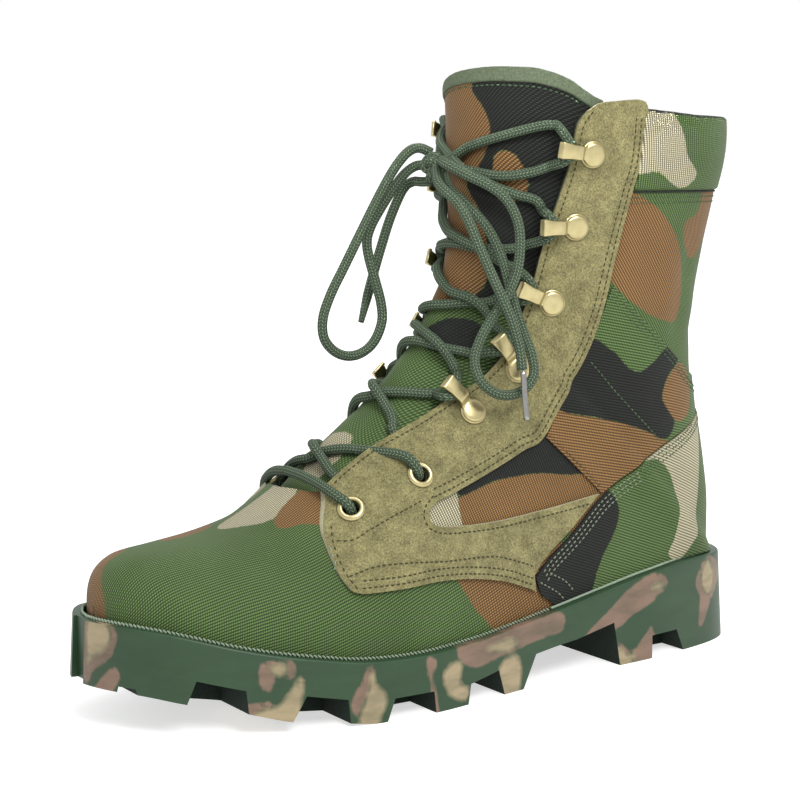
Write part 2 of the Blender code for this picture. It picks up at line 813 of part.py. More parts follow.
def upper_stations():
    """Section places of the upper: the tables' own, the throat's corner and one between each wide pair."""
    base = [t for t in sections.at if t < COLLAR_AT - 1.0]
    extra = [row[0] for row in THROAT[:4]] + [THROAT[-3][0], COLLAR_AT]
    wide = [(a + b) / 2 for a, b in zip(base, base[1:]) if b - a > STATION_SPLIT]
    rows = sorted(set(base + extra + wide))
    keep = rows[:1]
    for t in rows[1:]:
        if t - keep[-1] > STATION_CLOSE:
            keep.append(t)
    return keep


STATIONS = upper_stations()


def lacing_points(side):
    for row in LACING:
        yield row[:3] if side > 0 else (row[3], -row[4], row[5])


def eyelet_holes():
    """Cutters through eyestay and upper for the punched eyelets."""
    holes = []
    for name, side in (("outer", 1), ("inner", -1)):
        for number, (t, arc, _) in enumerate(list(lacing_points(side))[:EYELET_ROWS], 1):
            bm = bmesh.new()
            bmesh.ops.create_cone(
                bm,
                cap_ends=True,
                segments=ROUND_SIDES,
                radius1=EYELET_HOLE * MM,
                radius2=EYELET_HOLE * MM,
                depth=HOLE_DEPTH * MM,
                matrix=frame_at(t, arc, 0.0, 0.0),
            )
            holes.append(add_object(f"hole_{name}_{number}", bm))
    return holes


def make_upper(holes):
    bm = bmesh.new()
    for side in (1, -1):
        sheet(bm, STATIONS, side_shares(side, COLUMNS), 0.0, side > 0)
    bmesh.ops.remove_doubles(bm, verts=bm.verts, dist=WELD)
    front = max(vert.co.x for vert in bm.verts)
    nose = [vert for vert in bm.verts if vert.co.x > front - WELD]
    cap = bmesh.ops.contextual_create(bm, geom=nose)["faces"]
    bm.normal_update()
    if cap[0].normal.x < 0:
        bmesh.ops.reverse_faces(bm, faces=cap)
    upper = add_object("upper", bm, "camouflage_nylon")
    solidify(upper, WALL, -1.0)
    boolean(upper, prism("cuff_cut", CUFF_CUT, -HALF_SPAN, HALF_SPAN), "DIFFERENCE")
    for hole in holes:
        boolean(upper, hole, "DIFFERENCE")


def make_overlay(name, made_of, sides, outline, thick, stations, holes=()):
    """A slab lifted off the upper's own grid and kept where the outline falls."""
    bm = bmesh.new()
    for side in sides:
        sheet(bm, stations, side_shares(side, COLUMNS), GAP, side > 0)
    bmesh.ops.remove_doubles(bm, verts=bm.verts, dist=WELD)
    made = add_object(name, bm, made_of)
    solidify(made, thick, 1.0)
    near = RIDGE_LINE if -1 not in sides else -HALF_SPAN
    far = RIDGE_LINE if 1 not in sides else HALF_SPAN
    boolean(made, prism(f"{name}_outline", outline, near, far), "INTERSECT")
    for hole in holes:
        boolean(made, hole, "DIFFERENCE")


def make_cuff():
    """The padded collar: a thick band that stands on the quarter's top edge behind the eyestays."""
    stations = [t for t in STATIONS if CUFF_FROM < t <= COLLAR_AT] + [CUFF_TO]
    bm = bmesh.new()
    for side in (1, -1):
        made = sheet(bm, stations, side_shares(side, COLUMNS), CUFF_OUT, side > 0)
        for vert in made:
            rise = (vert.co.z / MM - CUFF_OUTLINE[0][1]) / (CUFF_OUTLINE[4][1] - CUFF_OUTLINE[0][1])
            swell = CUFF_BULGE * math.sin(math.pi * min(max(rise, 0.0), 1.0))
            middle = Vector(((CUFF_MIDDLE_X - CENTRE_X) * MM, 0.0, vert.co.z))
            outward = (vert.co - middle).normalized()
            vert.co += outward * swell * MM
    bmesh.ops.remove_doubles(bm, verts=bm.verts, dist=WELD)
    cuff = add_object("collar_cuff", bm, "camouflage_nylon")
    solidify(cuff, CUFF_THICK, -1.0)
    boolean(cuff, prism("collar_cuff_outline", CUFF_OUTLINE, -HALF_SPAN, HALF_SPAN), "INTERSECT")


def tongue_arc(t, share):
    """Arc of a tongue column: shares up to 1 span the throat, beyond it the tongue runs under the eyestay."""
    side = 1 if share >= 0 else -1
    opening = float(throat_curve(min(max(t, THROAT[3][0]), THROAT[-3][0]))[0 if side > 0 else 1])
    return share * opening if abs(share) <= 1 else side * (opening + TONGUE_UNDERLAP)


def tongue_dip(t):
    """How much deeper the tongue's foot lies under the vamp."""
    return TONGUE_DIP * max(0.0, (TONGUE_LEVEL_AT - t) / (TONGUE_LEVEL_AT - TONGUE_FOOT_AT))


def tongue_sheet(bm, rows_of, lift):
    """Tongue surface: each column runs along the places that rows_of gives for its arc at the top."""
    columns = []
    for share in TONGUE_COLUMNS:
        places = rows_of(tongue_arc(THROAT[-3][0], share))
        columns.append([metres(place(t, tongue_arc(t, share), lift - tongue_dip(t))) for t in places])
    rows = len(columns[0])
    made = bmesh.ops.create_grid(bm, x_segments=rows - 1, y_segments=len(columns) - 1, size=1.0)["verts"]
    for vert in made:
        i = round((vert.co.x + 1) / 2 * (rows - 1))
        j = round((vert.co.y + 1) / 2 * (len(columns) - 1))
        vert.co = columns[j][i]
    bmesh.ops.reverse_faces(bm, faces=bm.faces)
    bmesh.ops.triangulate(bm, faces=bm.faces, quad_method="FIXED")


def tongue_top(arc):
    return float(tongue_top_curve(np.clip(arc, TONGUE_TOP[0][0], TONGUE_TOP[-1][0]))[0])


def make_tongue():
    shared = [t for t in STATIONS if TONGUE_FOOT_AT - TAPE_SEAM < t < TONGUE_FREE_AT]

    def body(arc):
        last = tongue_top(arc) - BINDING_TALL - TAPE_SEAM
        return shared + list(np.linspace(TONGUE_FREE_AT, last, TONGUE_FREE_ROWS))

    def tape(arc):
        return np.linspace(tongue_top(arc) - BINDING_TALL, tongue_top(arc), TAPE_ROWS)

    bm = bmesh.new()
    tongue_sheet(bm, body, TONGUE_LIFT)
    solidify(add_object("tongue", bm, "camouflage_nylon"), TONGUE_THICK, -1.0)
    bm = bmesh.new()
    tongue_sheet(bm, tape, TONGUE_LIFT + BINDING_EXTRA)
    binding = add_object("tongue_binding", bm, "binding_tape")
    solidify(binding, TONGUE_THICK + 2 * BINDING_EXTRA, -1.0)


def ring_mesh(bm, inner, outer, tall):
    """A flat ring standing on z = 0, spun from its section."""
    low, high = 0.0, tall * EYELET_SHOULDER
    crown = (inner + EYELET_CROWN, tall)
    corners = ((inner, low), (outer, low), (outer - EYELET_EDGE, high), crown, (inner, high))
    verts = [bm.verts.new((r * MM, 0.0, z * MM)) for r, z in corners]
    loop = [bm.edges.new((a, b)) for a, b in zip(verts, verts[1:] + verts[:1])]
    bmesh.ops.spin(
        bm,
        geom=verts + loop,
        cent=(0.0, 0.0, 0.0),
        axis=(0.0, 0.0, 1.0),
        angle=2 * math.pi,
        steps=ROUND_SIDES,
        use_merge=True,
    )
    bmesh.ops.recalc_face_normals(bm, faces=bm.faces)


def strap_mesh(bm):
    """The hook's bent strap, its side view drawn out to the strap's width."""
    verts = [bm.verts.new((x * MM, -STRAP_HALF * MM, z * MM)) for x, z in STRAP_SIDE]
    face = bm.faces.new(verts)
    grown = bmesh.ops.extrude_face_region(bm, geom=[face])["geom"]
    moved = [item for item in grown if isinstance(item, bmesh.types.BMVert)]
    bmesh.ops.translate(bm, vec=(0.0, 2 * STRAP_HALF * MM, 0.0), verts=moved)
    bmesh.ops.recalc_face_normals(bm, faces=bm.faces)


def make_hardware():
    lift = GAP + EYESTAY_THICK
    for name, side in (("outer", 1), ("inner", -1)):
        for number, (t, arc, turn) in enumerate(lacing_points(side), 1):
            bm = bmesh.new()
            if number <= EYELET_ROWS:
                ring_mesh(bm, EYELET_HOLE, EYELET_OUTER, EYELET_THICK)
                made = add_object(f"eyelet_{name}_{number}", bm, "brass")
                made.matrix_world = frame_at(t, arc, lift + EYELET_GAP, 0.0)
                continue
            seat = frame_at(t, arc, lift + GAP, turn)
            bmesh.ops.create_cone(
                bm,
                cap_ends=True,
                segments=ROUND_SIDES,
                radius1=RIVET_RADIUS * MM,
                radius2=(RIVET_RADIUS - RIVET_TAPER) * MM,
                depth=RIVET_TALL * MM,
                matrix=Matrix.Translation((0.0, 0.0, RIVET_TALL / 2 * MM)),
            )
            made = add_object(f"hook_{name}_{number - EYELET_ROWS}", bm, "brass")
            made.matrix_world = seat
            bm = bmesh.new()
            strap_mesh(bm)
            strap = add_object(f"strap_{name}_{number}", bm)
            strap.matrix_world = seat
            boolean(made, strap, "UNION")


def cord(name, path, radius, made_of="lace_cord"):
    """A round cord along a path of points."""
    curve = bpy.data.curves.new(name, "CURVE")
    curve.dimensions = "3D"
    curve.bevel_depth = radius * MM
    curve.bevel_resolution = 2
    curve.use_fill_caps = True
    spline = curve.splines.new("POLY")
    spline.points.add(len(path) - 1)
    for point, at in zip(spline.points, path):
        point.co = (*metres(at), 1.0)
    curve.materials.append(material(made_of))
    made = bpy.data.objects.new(name, curve)
    boot.objects.link(made)
    return made


def tube(bm, path, radius, sides):
    """A closed tube through a path of places, as bmesh."""
    points = [metres(at) for at in path]
    rows = []
    for i, at in enumerate(points):
        run = (points[min(i + 1, len(points) - 1)] - points[max(i - 1, 0)]).normalized()
        across = run.cross(Vector(TUBE_UP)).normalized()
        up = across.cross(run)
        turns = [2 * math.pi * k / sides for k in range(sides)]
        spokes = [across * math.cos(a) + up * math.sin(a) for a in turns]
        rows.append([bm.verts.new(at + radius * MM * spoke) for spoke in spokes])
    for first, second in zip(rows, rows[1:]):
        for k in range(sides):
            n = (k + 1) % sides
            bm.faces.new((first[k], first[n], second[n], second[k]))
    bm.faces.new(rows[0])
    bm.faces.new(rows[-1])
    bmesh.ops.recalc_face_normals(bm, faces=bm.faces)


def lace_span(start, end, lift_start, lift_end):
    """Path between two lacing places over the tongue."""
    path = []
    for share in np.linspace(0.0, 1.0, LACE_POINTS):
        t = start[0] + (end[0] - start[0]) * share
        arc = start[1] + (end[1] - start[1]) * share
        sag = min(max(min(share, 1 - share) / LACE_SAG_SHARE - 1.0, 0.0), 1.0)
        lift = (lift_start + (lift_end - lift_start) * share) * (1 - sag) + LACE_LIFT * sag
        path.append(place(t, arc, lift))
    return path


def lace_end(row, side):
    """Where a lace span stops short of its eyelet or hook, and how high it runs there."""
    t, arc, _ = list(lacing_points(side))[row]
    edge = float(throat_curve(t)[0 if side > 0 else 1])
    short, ahead, lift = SPAN_AT_EYELET if row < EYELET_ROWS else SPAN_AT_HOOK
    return (t + ahead, side * (edge - short)), lift


def add_strand(name, start, end, lifts, made_of=None):
    """One lace span as a tube, a node where it has a material."""
    bm = bmesh.new()
    tube(bm, lace_span(start, end, *lifts), LACE_RADIUS, LACE_SIDES)
    return add_object(name, bm, made_of)


def make_lace():
    outer_t, outer_arc, _ = LACING[0][:3]
    inner_t, inner_arc, _ = LACING[0][3:]
    short = EYELET_OUTER + LACE_RADIUS + BAR_CLEAR
    lift = GAP + EYESTAY_THICK + LACE_RADIUS + 2 * GAP
    start, end = (outer_t + BAR_AHEAD, outer_arc - short), (inner_t + BAR_AHEAD, short - inner_arc)
    add_strand("lace_bar", start, end, (lift, lift), "lace_cord")
    for row in range(len(LACING) - 1):
        rise = CROSSING_RISE if row else CROSSING_RISE_FIRST
        strands = []
        for side in (1, -1):
            (low_t, low_arc), low_lift = lace_end(row, side)
            high, high_lift = lace_end(row + 1, -side)
            strands.append(((low_t + rise, low_arc), high, (low_lift, high_lift)))
        made = add_strand(f"lace_crossing_{row + 1}", *strands[0], "lace_cord")
        boolean(made, add_strand(f"crossing_strand_{row + 1}", *strands[1]), "UNION")
    x, y, z = KNOT_AT
    turns = np.radians(np.linspace(KNOT_START, KNOT_START + KNOT_TURN, KNOT_POINTS))
    knot = [(x, y + KNOT_RADIUS * math.cos(a), z + KNOT_RADIUS * math.sin(a)) for a in turns]
    cord("bow_knot", knot, LACE_RADIUS)
    cord("bow_loop_inner", LOOP_INNER, LACE_RADIUS)
    cord("bow_loop_outer", LOOP_OUTER, LACE_RADIUS)
    cord("lace_end_inner", END_INNER, LACE_RADIUS)
    cord("lace_end_outer", END_OUTER, LACE_RADIUS)
    cord("lace_tip_outer", TIP_OUTER, TIP_RADIUS, "steel_tip")


def main():
    for old in list(bpy.data.objects):
        bpy.data.objects.remove(old)
    scene = bpy.context.scene.collection
    scene.children.link(boot)
    scene.children.link(helpers)
    helpers.hide_render = True
    make_outsole()
    make_insole()
    holes = eyelet_holes()
    make_upper(holes)
    front = [t for t in STATIONS if EYESTAY_FROM < t]
    make_overlay("eyestay_outer", "suede", (1,), EYESTAY_OUTLINE, EYESTAY_THICK, front, holes[:2])
    make_overlay("eyestay_inner", "suede", (-1,), EYESTAY_OUTLINE, EYESTAY_THICK, front, holes[2:])
    behind = [t for t in STATIONS if BEHIND_FROM < t < BEHIND_TO]
    make_overlay("heel_counter", "camouflage_nylon", (1, -1), COUNTER_OUTLINE, COUNTER_THICK, behind)
    make_overlay("ankle_band", "camouflage_nylon", (1, -1), BAND_OUTLINE, BAND_THICK, behind)
    make_cuff()
    make_tongue()
    make_hardware()
    make_lace()


main()
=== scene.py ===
"""Combat boot, left foot: the looks of the boot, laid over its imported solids.

Sizes are in millimetres, with +X the toe, +Y the outer side and +Z up, and become metres when a mesh is
written. A place on the upper is (t, arc): t runs 0 at the toe to 100 above the collar, arc is millimetres
from the ridge of the last, positive to the outer side. A place on a side panel is (u, z): u is x, unrolled
round the heel and the toe.
"""

import math

import bmesh
import bpy
import numpy as np
from bpy.props import FloatProperty, FloatVectorProperty, PointerProperty
from mathutils import Matrix, Quaternion, Vector
from mathutils.bvhtree import BVHTree


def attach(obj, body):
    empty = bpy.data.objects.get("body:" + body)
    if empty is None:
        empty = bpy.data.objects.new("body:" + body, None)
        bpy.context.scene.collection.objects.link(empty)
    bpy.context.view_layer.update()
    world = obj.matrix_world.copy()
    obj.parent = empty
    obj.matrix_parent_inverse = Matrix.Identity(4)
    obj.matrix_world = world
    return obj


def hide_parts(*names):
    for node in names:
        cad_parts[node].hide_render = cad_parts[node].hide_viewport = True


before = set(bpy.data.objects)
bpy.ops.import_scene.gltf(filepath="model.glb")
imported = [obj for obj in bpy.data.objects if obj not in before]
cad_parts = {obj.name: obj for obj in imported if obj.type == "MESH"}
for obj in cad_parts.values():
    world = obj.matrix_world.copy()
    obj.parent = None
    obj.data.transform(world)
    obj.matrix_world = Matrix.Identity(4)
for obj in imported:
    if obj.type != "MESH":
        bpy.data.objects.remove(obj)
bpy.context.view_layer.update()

bl_info = {
    "name": "Combat boot",
    "version": (1, 0, 0),
    "blender": (4, 5, 0),
    "location": "3D View > Sidebar > Boot",
    "description": "Printed nylon, suede, rubber, brass and lace for a combat boot",
    "category": "Object",
}

MM = 0.001
CENTRE = np.array((-0.6, 2.5, 0.0))

# Driving sizes, shared with the solids
GAP = 0.3
WALL = 2.0
SOLE_FLARE = 1.5
RIM_EASE = 1.0
BED_DEPTH = 5.0
BED_INSET = 3.3
BASE_INSET = 6.0
BASE_SINK = 4.4
EYESTAY_THICK = 1.4
COUNTER_THICK = 1.1
BAND_THICK = 0.8
CUFF_OUT = 1.4
CUFF_BULGE = 1.6
CUFF_THICK = 6.0
CUFF_MIDDLE_X = -85.0
TONGUE_LIFT = -3.2
TONGUE_THICK = 4.0
TONGUE_UNDERLAP = 9.0
BINDING_EXTRA = 0.9
BINDING_TALL = 1.65
LACE_DRAWN = 2.05
TIP_RADIUS = 1.2
EYELET_HOLE = 3.2
EYELET_ROWS = 2

# Sole plan: station along the boot, outer edge, inner edge
SOLE_PLAN = (
    (-151, 0, 0), (-150.2, 7.5, -7.5), (-148, 13.6, -13.6), (-144, 20.3, -20.3), (-138, 26.5, -26.3),
    (-128, 31.5, -32), (-112, 35.8, -36.5), (-90, 40, -38.5), (-65, 42.3, -37), (-40, 44.8, -36),
    (-15, 49.5, -38), (10, 54.5, -43), (35, 57.9, -48.5), (55, 57.8, -52), (75, 55, -53),
    (95, 50.2, -50.5), (112, 43.8, -46), (126, 35.5, -40), (137, 25.8, -32.5), (144, 16.8, -25),
    (148, 8.5, -17.5), (150.2, 1, -11), (151, -5, -5),
)

# Height of the sole's rim along the boot
RIM_HEIGHT = (
    (-151, 37), (-135, 38.2), (-118, 38.5), (-90, 36.4), (-65, 32.6), (-40, 28.6), (-15, 25.6),
    (10, 23.6), (40, 22.7), (60, 23.8), (80, 26.9), (95, 29.8), (110, 33.4), (122, 36.8), (132, 39.2),
    (143, 40.7), (151, 40.8),
)

# Height of the lug bottoms: flat under heel and ball, then the toe spring
GROUND_HEIGHT = (
    (-151, 0), (55, 0), (68, 1.5), (90, 4.6), (106, 9), (126, 13.3), (140, 16.2), (151, 17),
)

# Notches between the edge lugs: front and rear edge at the ground, the same at the roof, rise, reach inwards
NOTCHES = (
    (145.4, 140.3, 145, 140.7, 2, 10),
    (126.2, 106.3, 123, 106.8, 8.5, 17),
    (90.5, 68.5, 85, 69, 9, 18),
    (53.2, 31.2, 49.4, 31.7, 8.4, 18),
    (-89.4, -109.6, -89.9, -105.4, 9.7, 15),
)

# Hollows under the waist and the flat front of the toe, as outlines in side view, and the toe face's span
WAIST_FRONT = ((15.4, -3.0), (12.8, 7.8), (-2.5, 10.3), (-6.0, -3.0))
WAIST_REAR = ((-14.0, -3.0), (-24.0, 12.8), (-47.5, 14.8), (-68.2, 18.5), (-71.4, -3.0))
TOE_FACE = ((148.9, -5.0), (170.0, -5.0), (170.0, 60.0), (148.9, 60.0))
TOE_FACE_SPAN = (-11.0, 0.4)

# Channels in the tread: rear end, front end, half width, rise
CHANNELS = ((20.0, 120.0, 5.0, 5.5), (-135.0, -76.0, 6.0, 6.0))

# Upper over the foot: ridge point, base station, bulge past the base line, height share of the widest
# point, squareness of the crown and of the part below it
FOOT_SECTIONS = (
    (144.6, -4, 45, 144.6, 0.5, 0.5, 0.60, 2.2, 2),
    (142.8, -4.2, 53.5, 142.4, 0.5, 0.5, 0.64, 2.2, 2),
    (138, -4.5, 60, 137, 0.8, 0.8, 0.68, 2.2, 2),
    (129, -5, 63.8, 127, 1, 1, 0.71, 2.2, 2),
    (115, -5.5, 65.2, 113, 1.2, 1, 0.74, 2.2, 2),
    (98, -6, 67.2, 95, 1.4, 1.4, 0.75, 2.2, 1.6),
    (82, -6, 71.5, 76, 1.4, 1.4, 0.76, 2.1, 1.4),
    (67, -5.5, 80, 56, 1.2, 1.8, 0.77, 2.05, 1.3),
    (54, -5, 91.5, 34, 1, 2.2, 0.78, 2, 1.2),
    (41, -4, 103, 10, 1.2, 3.4, 0.78, 2, 1.2),
    (29, -3, 113.5, -18, 2, 4.2, 0.76, 2, 1.2),
    (18, -2, 123.5, -48, 3.2, 4.6, 0.74, 2, 1.2),
    (9, -1, 133, -78, 3.6, 4.4, 0.72, 2, 1.2),
    (2, 0, 142, -104, 4.8, 5, 0.68, 2, 1.4),
    (-3, 0, 150, -123, 8.4, 8.4, 0.64, 2, 1.7),
    (-7, 0, 157.5, -136.5, 16, 16, 0.61, 2, 1.9),
    (-10, 0, 164, -143.6, 25.6, 25.6, 0.58, 1.95, 1.95),
)

# Upper over heel and shaft: front point, back point, half width, widest, squareness in front and behind
SHAFT_SECTIONS = (
    (-12, 170, -145.9, 36.5, 34.8, 0.56, 2, 1.95),
    (-14, 177, -146.2, 52, 34.8, 0.55, 2.1, 1.95),
    (-15.5, 185, -143.5, 74, 35, 0.54, 2.2, 1.95),
    (-16.5, 193, -138.5, 98, 35.5, 0.53, 2.2, 2),
    (-17, 201, -135.5, 121, 36.5, 0.52, 2.3, 2.05),
    (-17.3, 210, -136.5, 145, 38, 0.52, 2.3, 2.1),
    (-17.6, 219, -141, 170, 40, 0.52, 2.3, 2.1),
    (-18, 228.5, -147, 195, 42, 0.52, 2.3, 2.1),
    (-18, 240, -151, 228, 43.5, 0.52, 2.3, 2.1),
    (-18.5, 258, -153, 250, 44.5, 0.52, 2.3, 2.1),
)

# Throat: place along the boot, half opening on the outer and the inner side, along the section
THROAT = (
    (23.6, 0, 0), (24.2, 12, 12), (25, 20.5, 20.5), (26.3, 24.4, 24.4), (30.2, 24.7, 24.7),
    (34.3, 25.6, 25.6), (39.7, 28.2, 28), (45.3, 30.8, 30), (53.6, 36.9, 34.5), (59.3, 40.8, 37),
    (66.6, 43.8, 38), (74.6, 46.3, 39.5), (81.9, 51.5, 43), (86.1, 54.3, 46), (90.7, 56, 48),
    (93.1, 60.4, 52.5), (94.4, 66, 58), (94.9, 71, 63),
)
COLLAR_AT = 94.9
EYESTAY_TOP_AT = 96.4
TONGUE_FOOT_AT = 22.4
TONGUE_LEVEL_AT = 29.0
TONGUE_DIP = 2.4

# Tongue's top edge: millimetres from the ridge, place along the boot
TONGUE_TOP = (
    (-80, 93.9), (-55, 94.3), (-36, 94.9), (-21, 95.7), (-14, 96.4), (-2, 97.1), (9, 97.4), (24, 97.6),
    (37, 97.6), (45, 97.3), (54, 96.6), (60.5, 95.6), (67.5, 94.7), (80, 94.2),
)

# Overlay outlines in side view, x and z, clockwise from the top
EYESTAY_OUTLINE = (
    (-20, 190), (-36, 222), (-54.2, 229.2), (-60.5, 232.8), (-69.5, 233.9), (-78.6, 234.4),
    (-82.2, 233.4), (-83.8, 230.4), (-83, 222), (-81.2, 209), (-77.8, 196), (-71.6, 169), (-66.9, 147.6),
    (-57.8, 126), (-39.5, 99.6), (-26.4, 93.7), (-9.5, 86.9), (7.7, 81.1), (18, 78.2), (22, 75.2),
    (23, 72), (20.4, 69.6), (11.4, 68.2), (-9.2, 67.7), (-32, 69.3), (-64, 72.6), (-47.6, 60.4),
    (-33.6, 50.6), (-27, 44), (-28, 37), (-22.9, 39.3), (-10.5, 43.9), (7.3, 47.6), (24, 49.1),
    (41.9, 48.7), (58.5, 48.8), (63, 50.4), (65.6, 55.1), (66.6, 60.7), (66.1, 67.7), (64.4, 72.5),
    (60, 79), (56, 86), (60, 112), (20, 150),
)
COUNTER_OUTLINE = (
    (-165, 103), (-138, 101.5), (-123.2, 96.6), (-99.8, 88.6), (-82.4, 79.6), (-65.2, 70.8),
    (-48.4, 58.2), (-34.6, 48.6), (-28.2, 42.6), (-31, 35.6), (-36, 32), (-42, 29.5), (-65, 33.2),
    (-90, 37), (-118, 39.1), (-135, 38.8), (-165, 37.8),
)
BAND_OUTLINE = (
    (-72, 158.6), (-92.5, 140.2), (-123.7, 118.2), (-165, 108), (-165, 103.8), (-138, 102.3),
    (-123, 97.4), (-99.5, 89.4), (-82, 80.4), (-66, 72.8), (-40, 98), (-58.6, 126.4), (-67.8, 148),
)
CUFF_OUTLINE = ((-79.4, 197.4), (-165.0, 196.4), (-165.0, 227.0), (-112.0, 228.4), (-82.4, 231.0))

# Lacing, foot to collar: place and arc of the eyelet or rivet on each side, strap turn from level, degrees
LACING = (
    (26.7, 40.6, 0, 26.7, 40.6, 0),
    (36.2, 46.5, 0, 36.2, 45.5, 0),
    (48, 41.8, 4, 48.4, 39.6, 2),
    (57.4, 48, -10, 59, 43, 8),
    (67, 54.6, 16, 69.2, 46.6, 14),
    (79, 60.2, 28, 82, 51, 10),
    (88, 63.6, 8, 90, 56, 0),
)

# Bow, as cord paths: one row per fold
KNOT_AT = (-14.2, -5.0, 208.0)
LOOP_INNER = (
    (-14, -10.6, 214), (-9.6, -12.6, 216), (-3.9, -12.4, 214.4), (3.2, -12, 207.6), (10.6, -12, 196.7),
    (18.9, -12, 183.1), (27.2, -12, 169.2), (34, -12, 157.8), (37.9, -12, 148.2), (37.6, -12, 140.1),
    (33, -12, 134.5), (26.5, -12, 132), (19.3, -12, 133.2), (13.2, -12.4, 137.8), (9.4, -13, 145.4),
    (9.4, -13.6, 152.8), (11.2, -14.4, 161.1), (13.6, -15.6, 171.4), (13.9, -16.6, 178.3),
    (11.6, -17, 184.4), (6.2, -17, 192.4), (0.2, -17, 200), (-5.6, -16.8, 206), (-10.4, -15.6, 208.8),
    (-13.6, -12, 208.6),
)
END_INNER = (
    (-13.6, -9.8, 202.2), (-13, -16.4, 202), (-11.6, -21.4, 202), (-8.2, -23.6, 198.8),
    (-2.2, -23.6, 188), (3.1, -23.2, 175.3), (9.1, -22.6, 159.3), (14.1, -22, 144.6),
)
LOOP_OUTER = (
    (-13, 0.8, 211), (-5.6, 12, 210), (-9.4, 23, 205), (-15.5, 30.6, 200.3), (-20.5, 34.9, 194.7),
    (-24.1, 36.8, 186.3), (-24.6, 37.6, 176.9), (-22.4, 38.4, 166.6), (-18, 37.6, 157.1),
    (-13.4, 34.4, 148.7), (-8.4, 33.2, 140.5), (-5.3, 33.3, 132.4), (-5.4, 36.1, 125.1), (-9.1, 39, 120),
    (-14.7, 40.8, 117.9), (-22.2, 41.6, 119.1), (-28.4, 41, 124.7), (-29.6, 38.4, 132.6),
    (-28.6, 34.6, 141), (-24.8, 34.2, 151), (-22.4, 33, 161.5), (-21.6, 29, 172), (-17.6, 25.4, 183.3),
    (-12.6, 18.6, 192.6), (-9.8, 9, 199.6), (-13, 1, 204.4),
)
END_OUTER = (
    (-8.4, 1.6, 207.4), (-2, 14, 201), (-4, 22.5, 195), (-6.4, 28, 187), (-9.6, 33, 174),
    (-12.6, 38.8, 161), (-16.4, 42.6, 149), (-19, 44.8, 137), (-19.6, 45.6, 128.4),
)
TIP_OUTER = ((-19.6, 46.4, 127.6), (-19.4, 47.6, 117.7), (-19.3, 49.0, 108.6))

# Fineness of the meshes
DENSE = 72
PLAN_STEPS = 241
T_STEP = 0.15
V_STEP = 0.012
HALF_SPAN = 90.0
RIDGE_LINE = -5.0
CUT_PAST = 30.0
CUT_ABOVE = 40.0
CUT_BELOW = 6.0
CUT_STEP = 0.01
HOLE_DEPTH = 16.0
WELD = 0.00002
FAR = 400.0
T_LAST = 100.0
FRAME_REACH = 2.0
OUTLINE_STEP = 3.0
OVERLAY_STEP = 2.0
HOLE_SIDES = 32
SHARP_CLOTH = 50.0
SHARP_RUBBER = 32.0
SHARP_BRASS = 40.0
SIDES = (("outer", 1), ("inner", -1))

# Where the side panels' chart leaves x and turns round the heel and round the toe: station, middle, radius
HEEL_TURN = (-105.0, 0.0, 38.0)
TOE_TURN = (108.0, -5.0, 46.0)


def linear(colour):
    """Linear RGB of an sRGB hex colour."""
    parts = [int(colour[k:k + 2], 16) / 255.0 for k in (0, 2, 4)]
    return tuple(c / 12.92 if c <= 0.04045 else ((c + 0.055) / 1.055) ** 2.4 for c in parts)


def metres(points):
    return (np.asarray(points, float) - CENTRE) * MM


def millimetres(points):
    return np.asarray(points, float) / MM + CENTRE


def unit(rows):
    """Rows of vectors, each made one long."""
    return rows / np.linalg.norm(rows, axis=-1, keepdims=True)


def running(points):
    """Length of a line from its first point to each of its points."""
    return np.concatenate([[0.0], np.cumsum(np.linalg.norm(np.diff(points, axis=0), axis=1))])


class Curve:
    """A smooth table: monotone cubic through rows given at rising stations."""

    def __init__(self, rows):
        rows = np.asarray(rows, float)
        self.at, self.rows = rows[:, 0], rows[:, 1:]
        rate = np.diff(self.rows, axis=0) / np.diff(self.at)[:, None]
        product = rate[:-1] * rate[1:]
        total = np.where(product > 0, rate[:-1] + rate[1:], 1.0)
        inner = np.where(product > 0, 2 * product / total, 0.0)
        self.slope = np.concatenate([rate[:1], inner, rate[-1:]])

    def __call__(self, place):
        i = int(np.clip(np.searchsorted(self.at, place) - 1, 0, len(self.at) - 2))
        span = self.at[i + 1] - self.at[i]
        u = (place - self.at[i]) / span
        start = (1 + 2 * u) * (1 - u) ** 2 * self.rows[i] + u * (1 - u) ** 2 * span * self.slope[i]
        return start + u * u * (3 - 2 * u) * self.rows[i + 1] + u * u * (u - 1) * span * self.slope[i + 1]


plan_curve = Curve(SOLE_PLAN)
rim_curve = Curve(RIM_HEIGHT)
ground_curve = Curve(GROUND_HEIGHT)
throat_curve = Curve(THROAT)
tongue_top_curve = Curve(TONGUE_TOP)


def rim(x):
    return float(rim_curve(x)[0])


def ground(x):
    return float(ground_curve(x)[0])


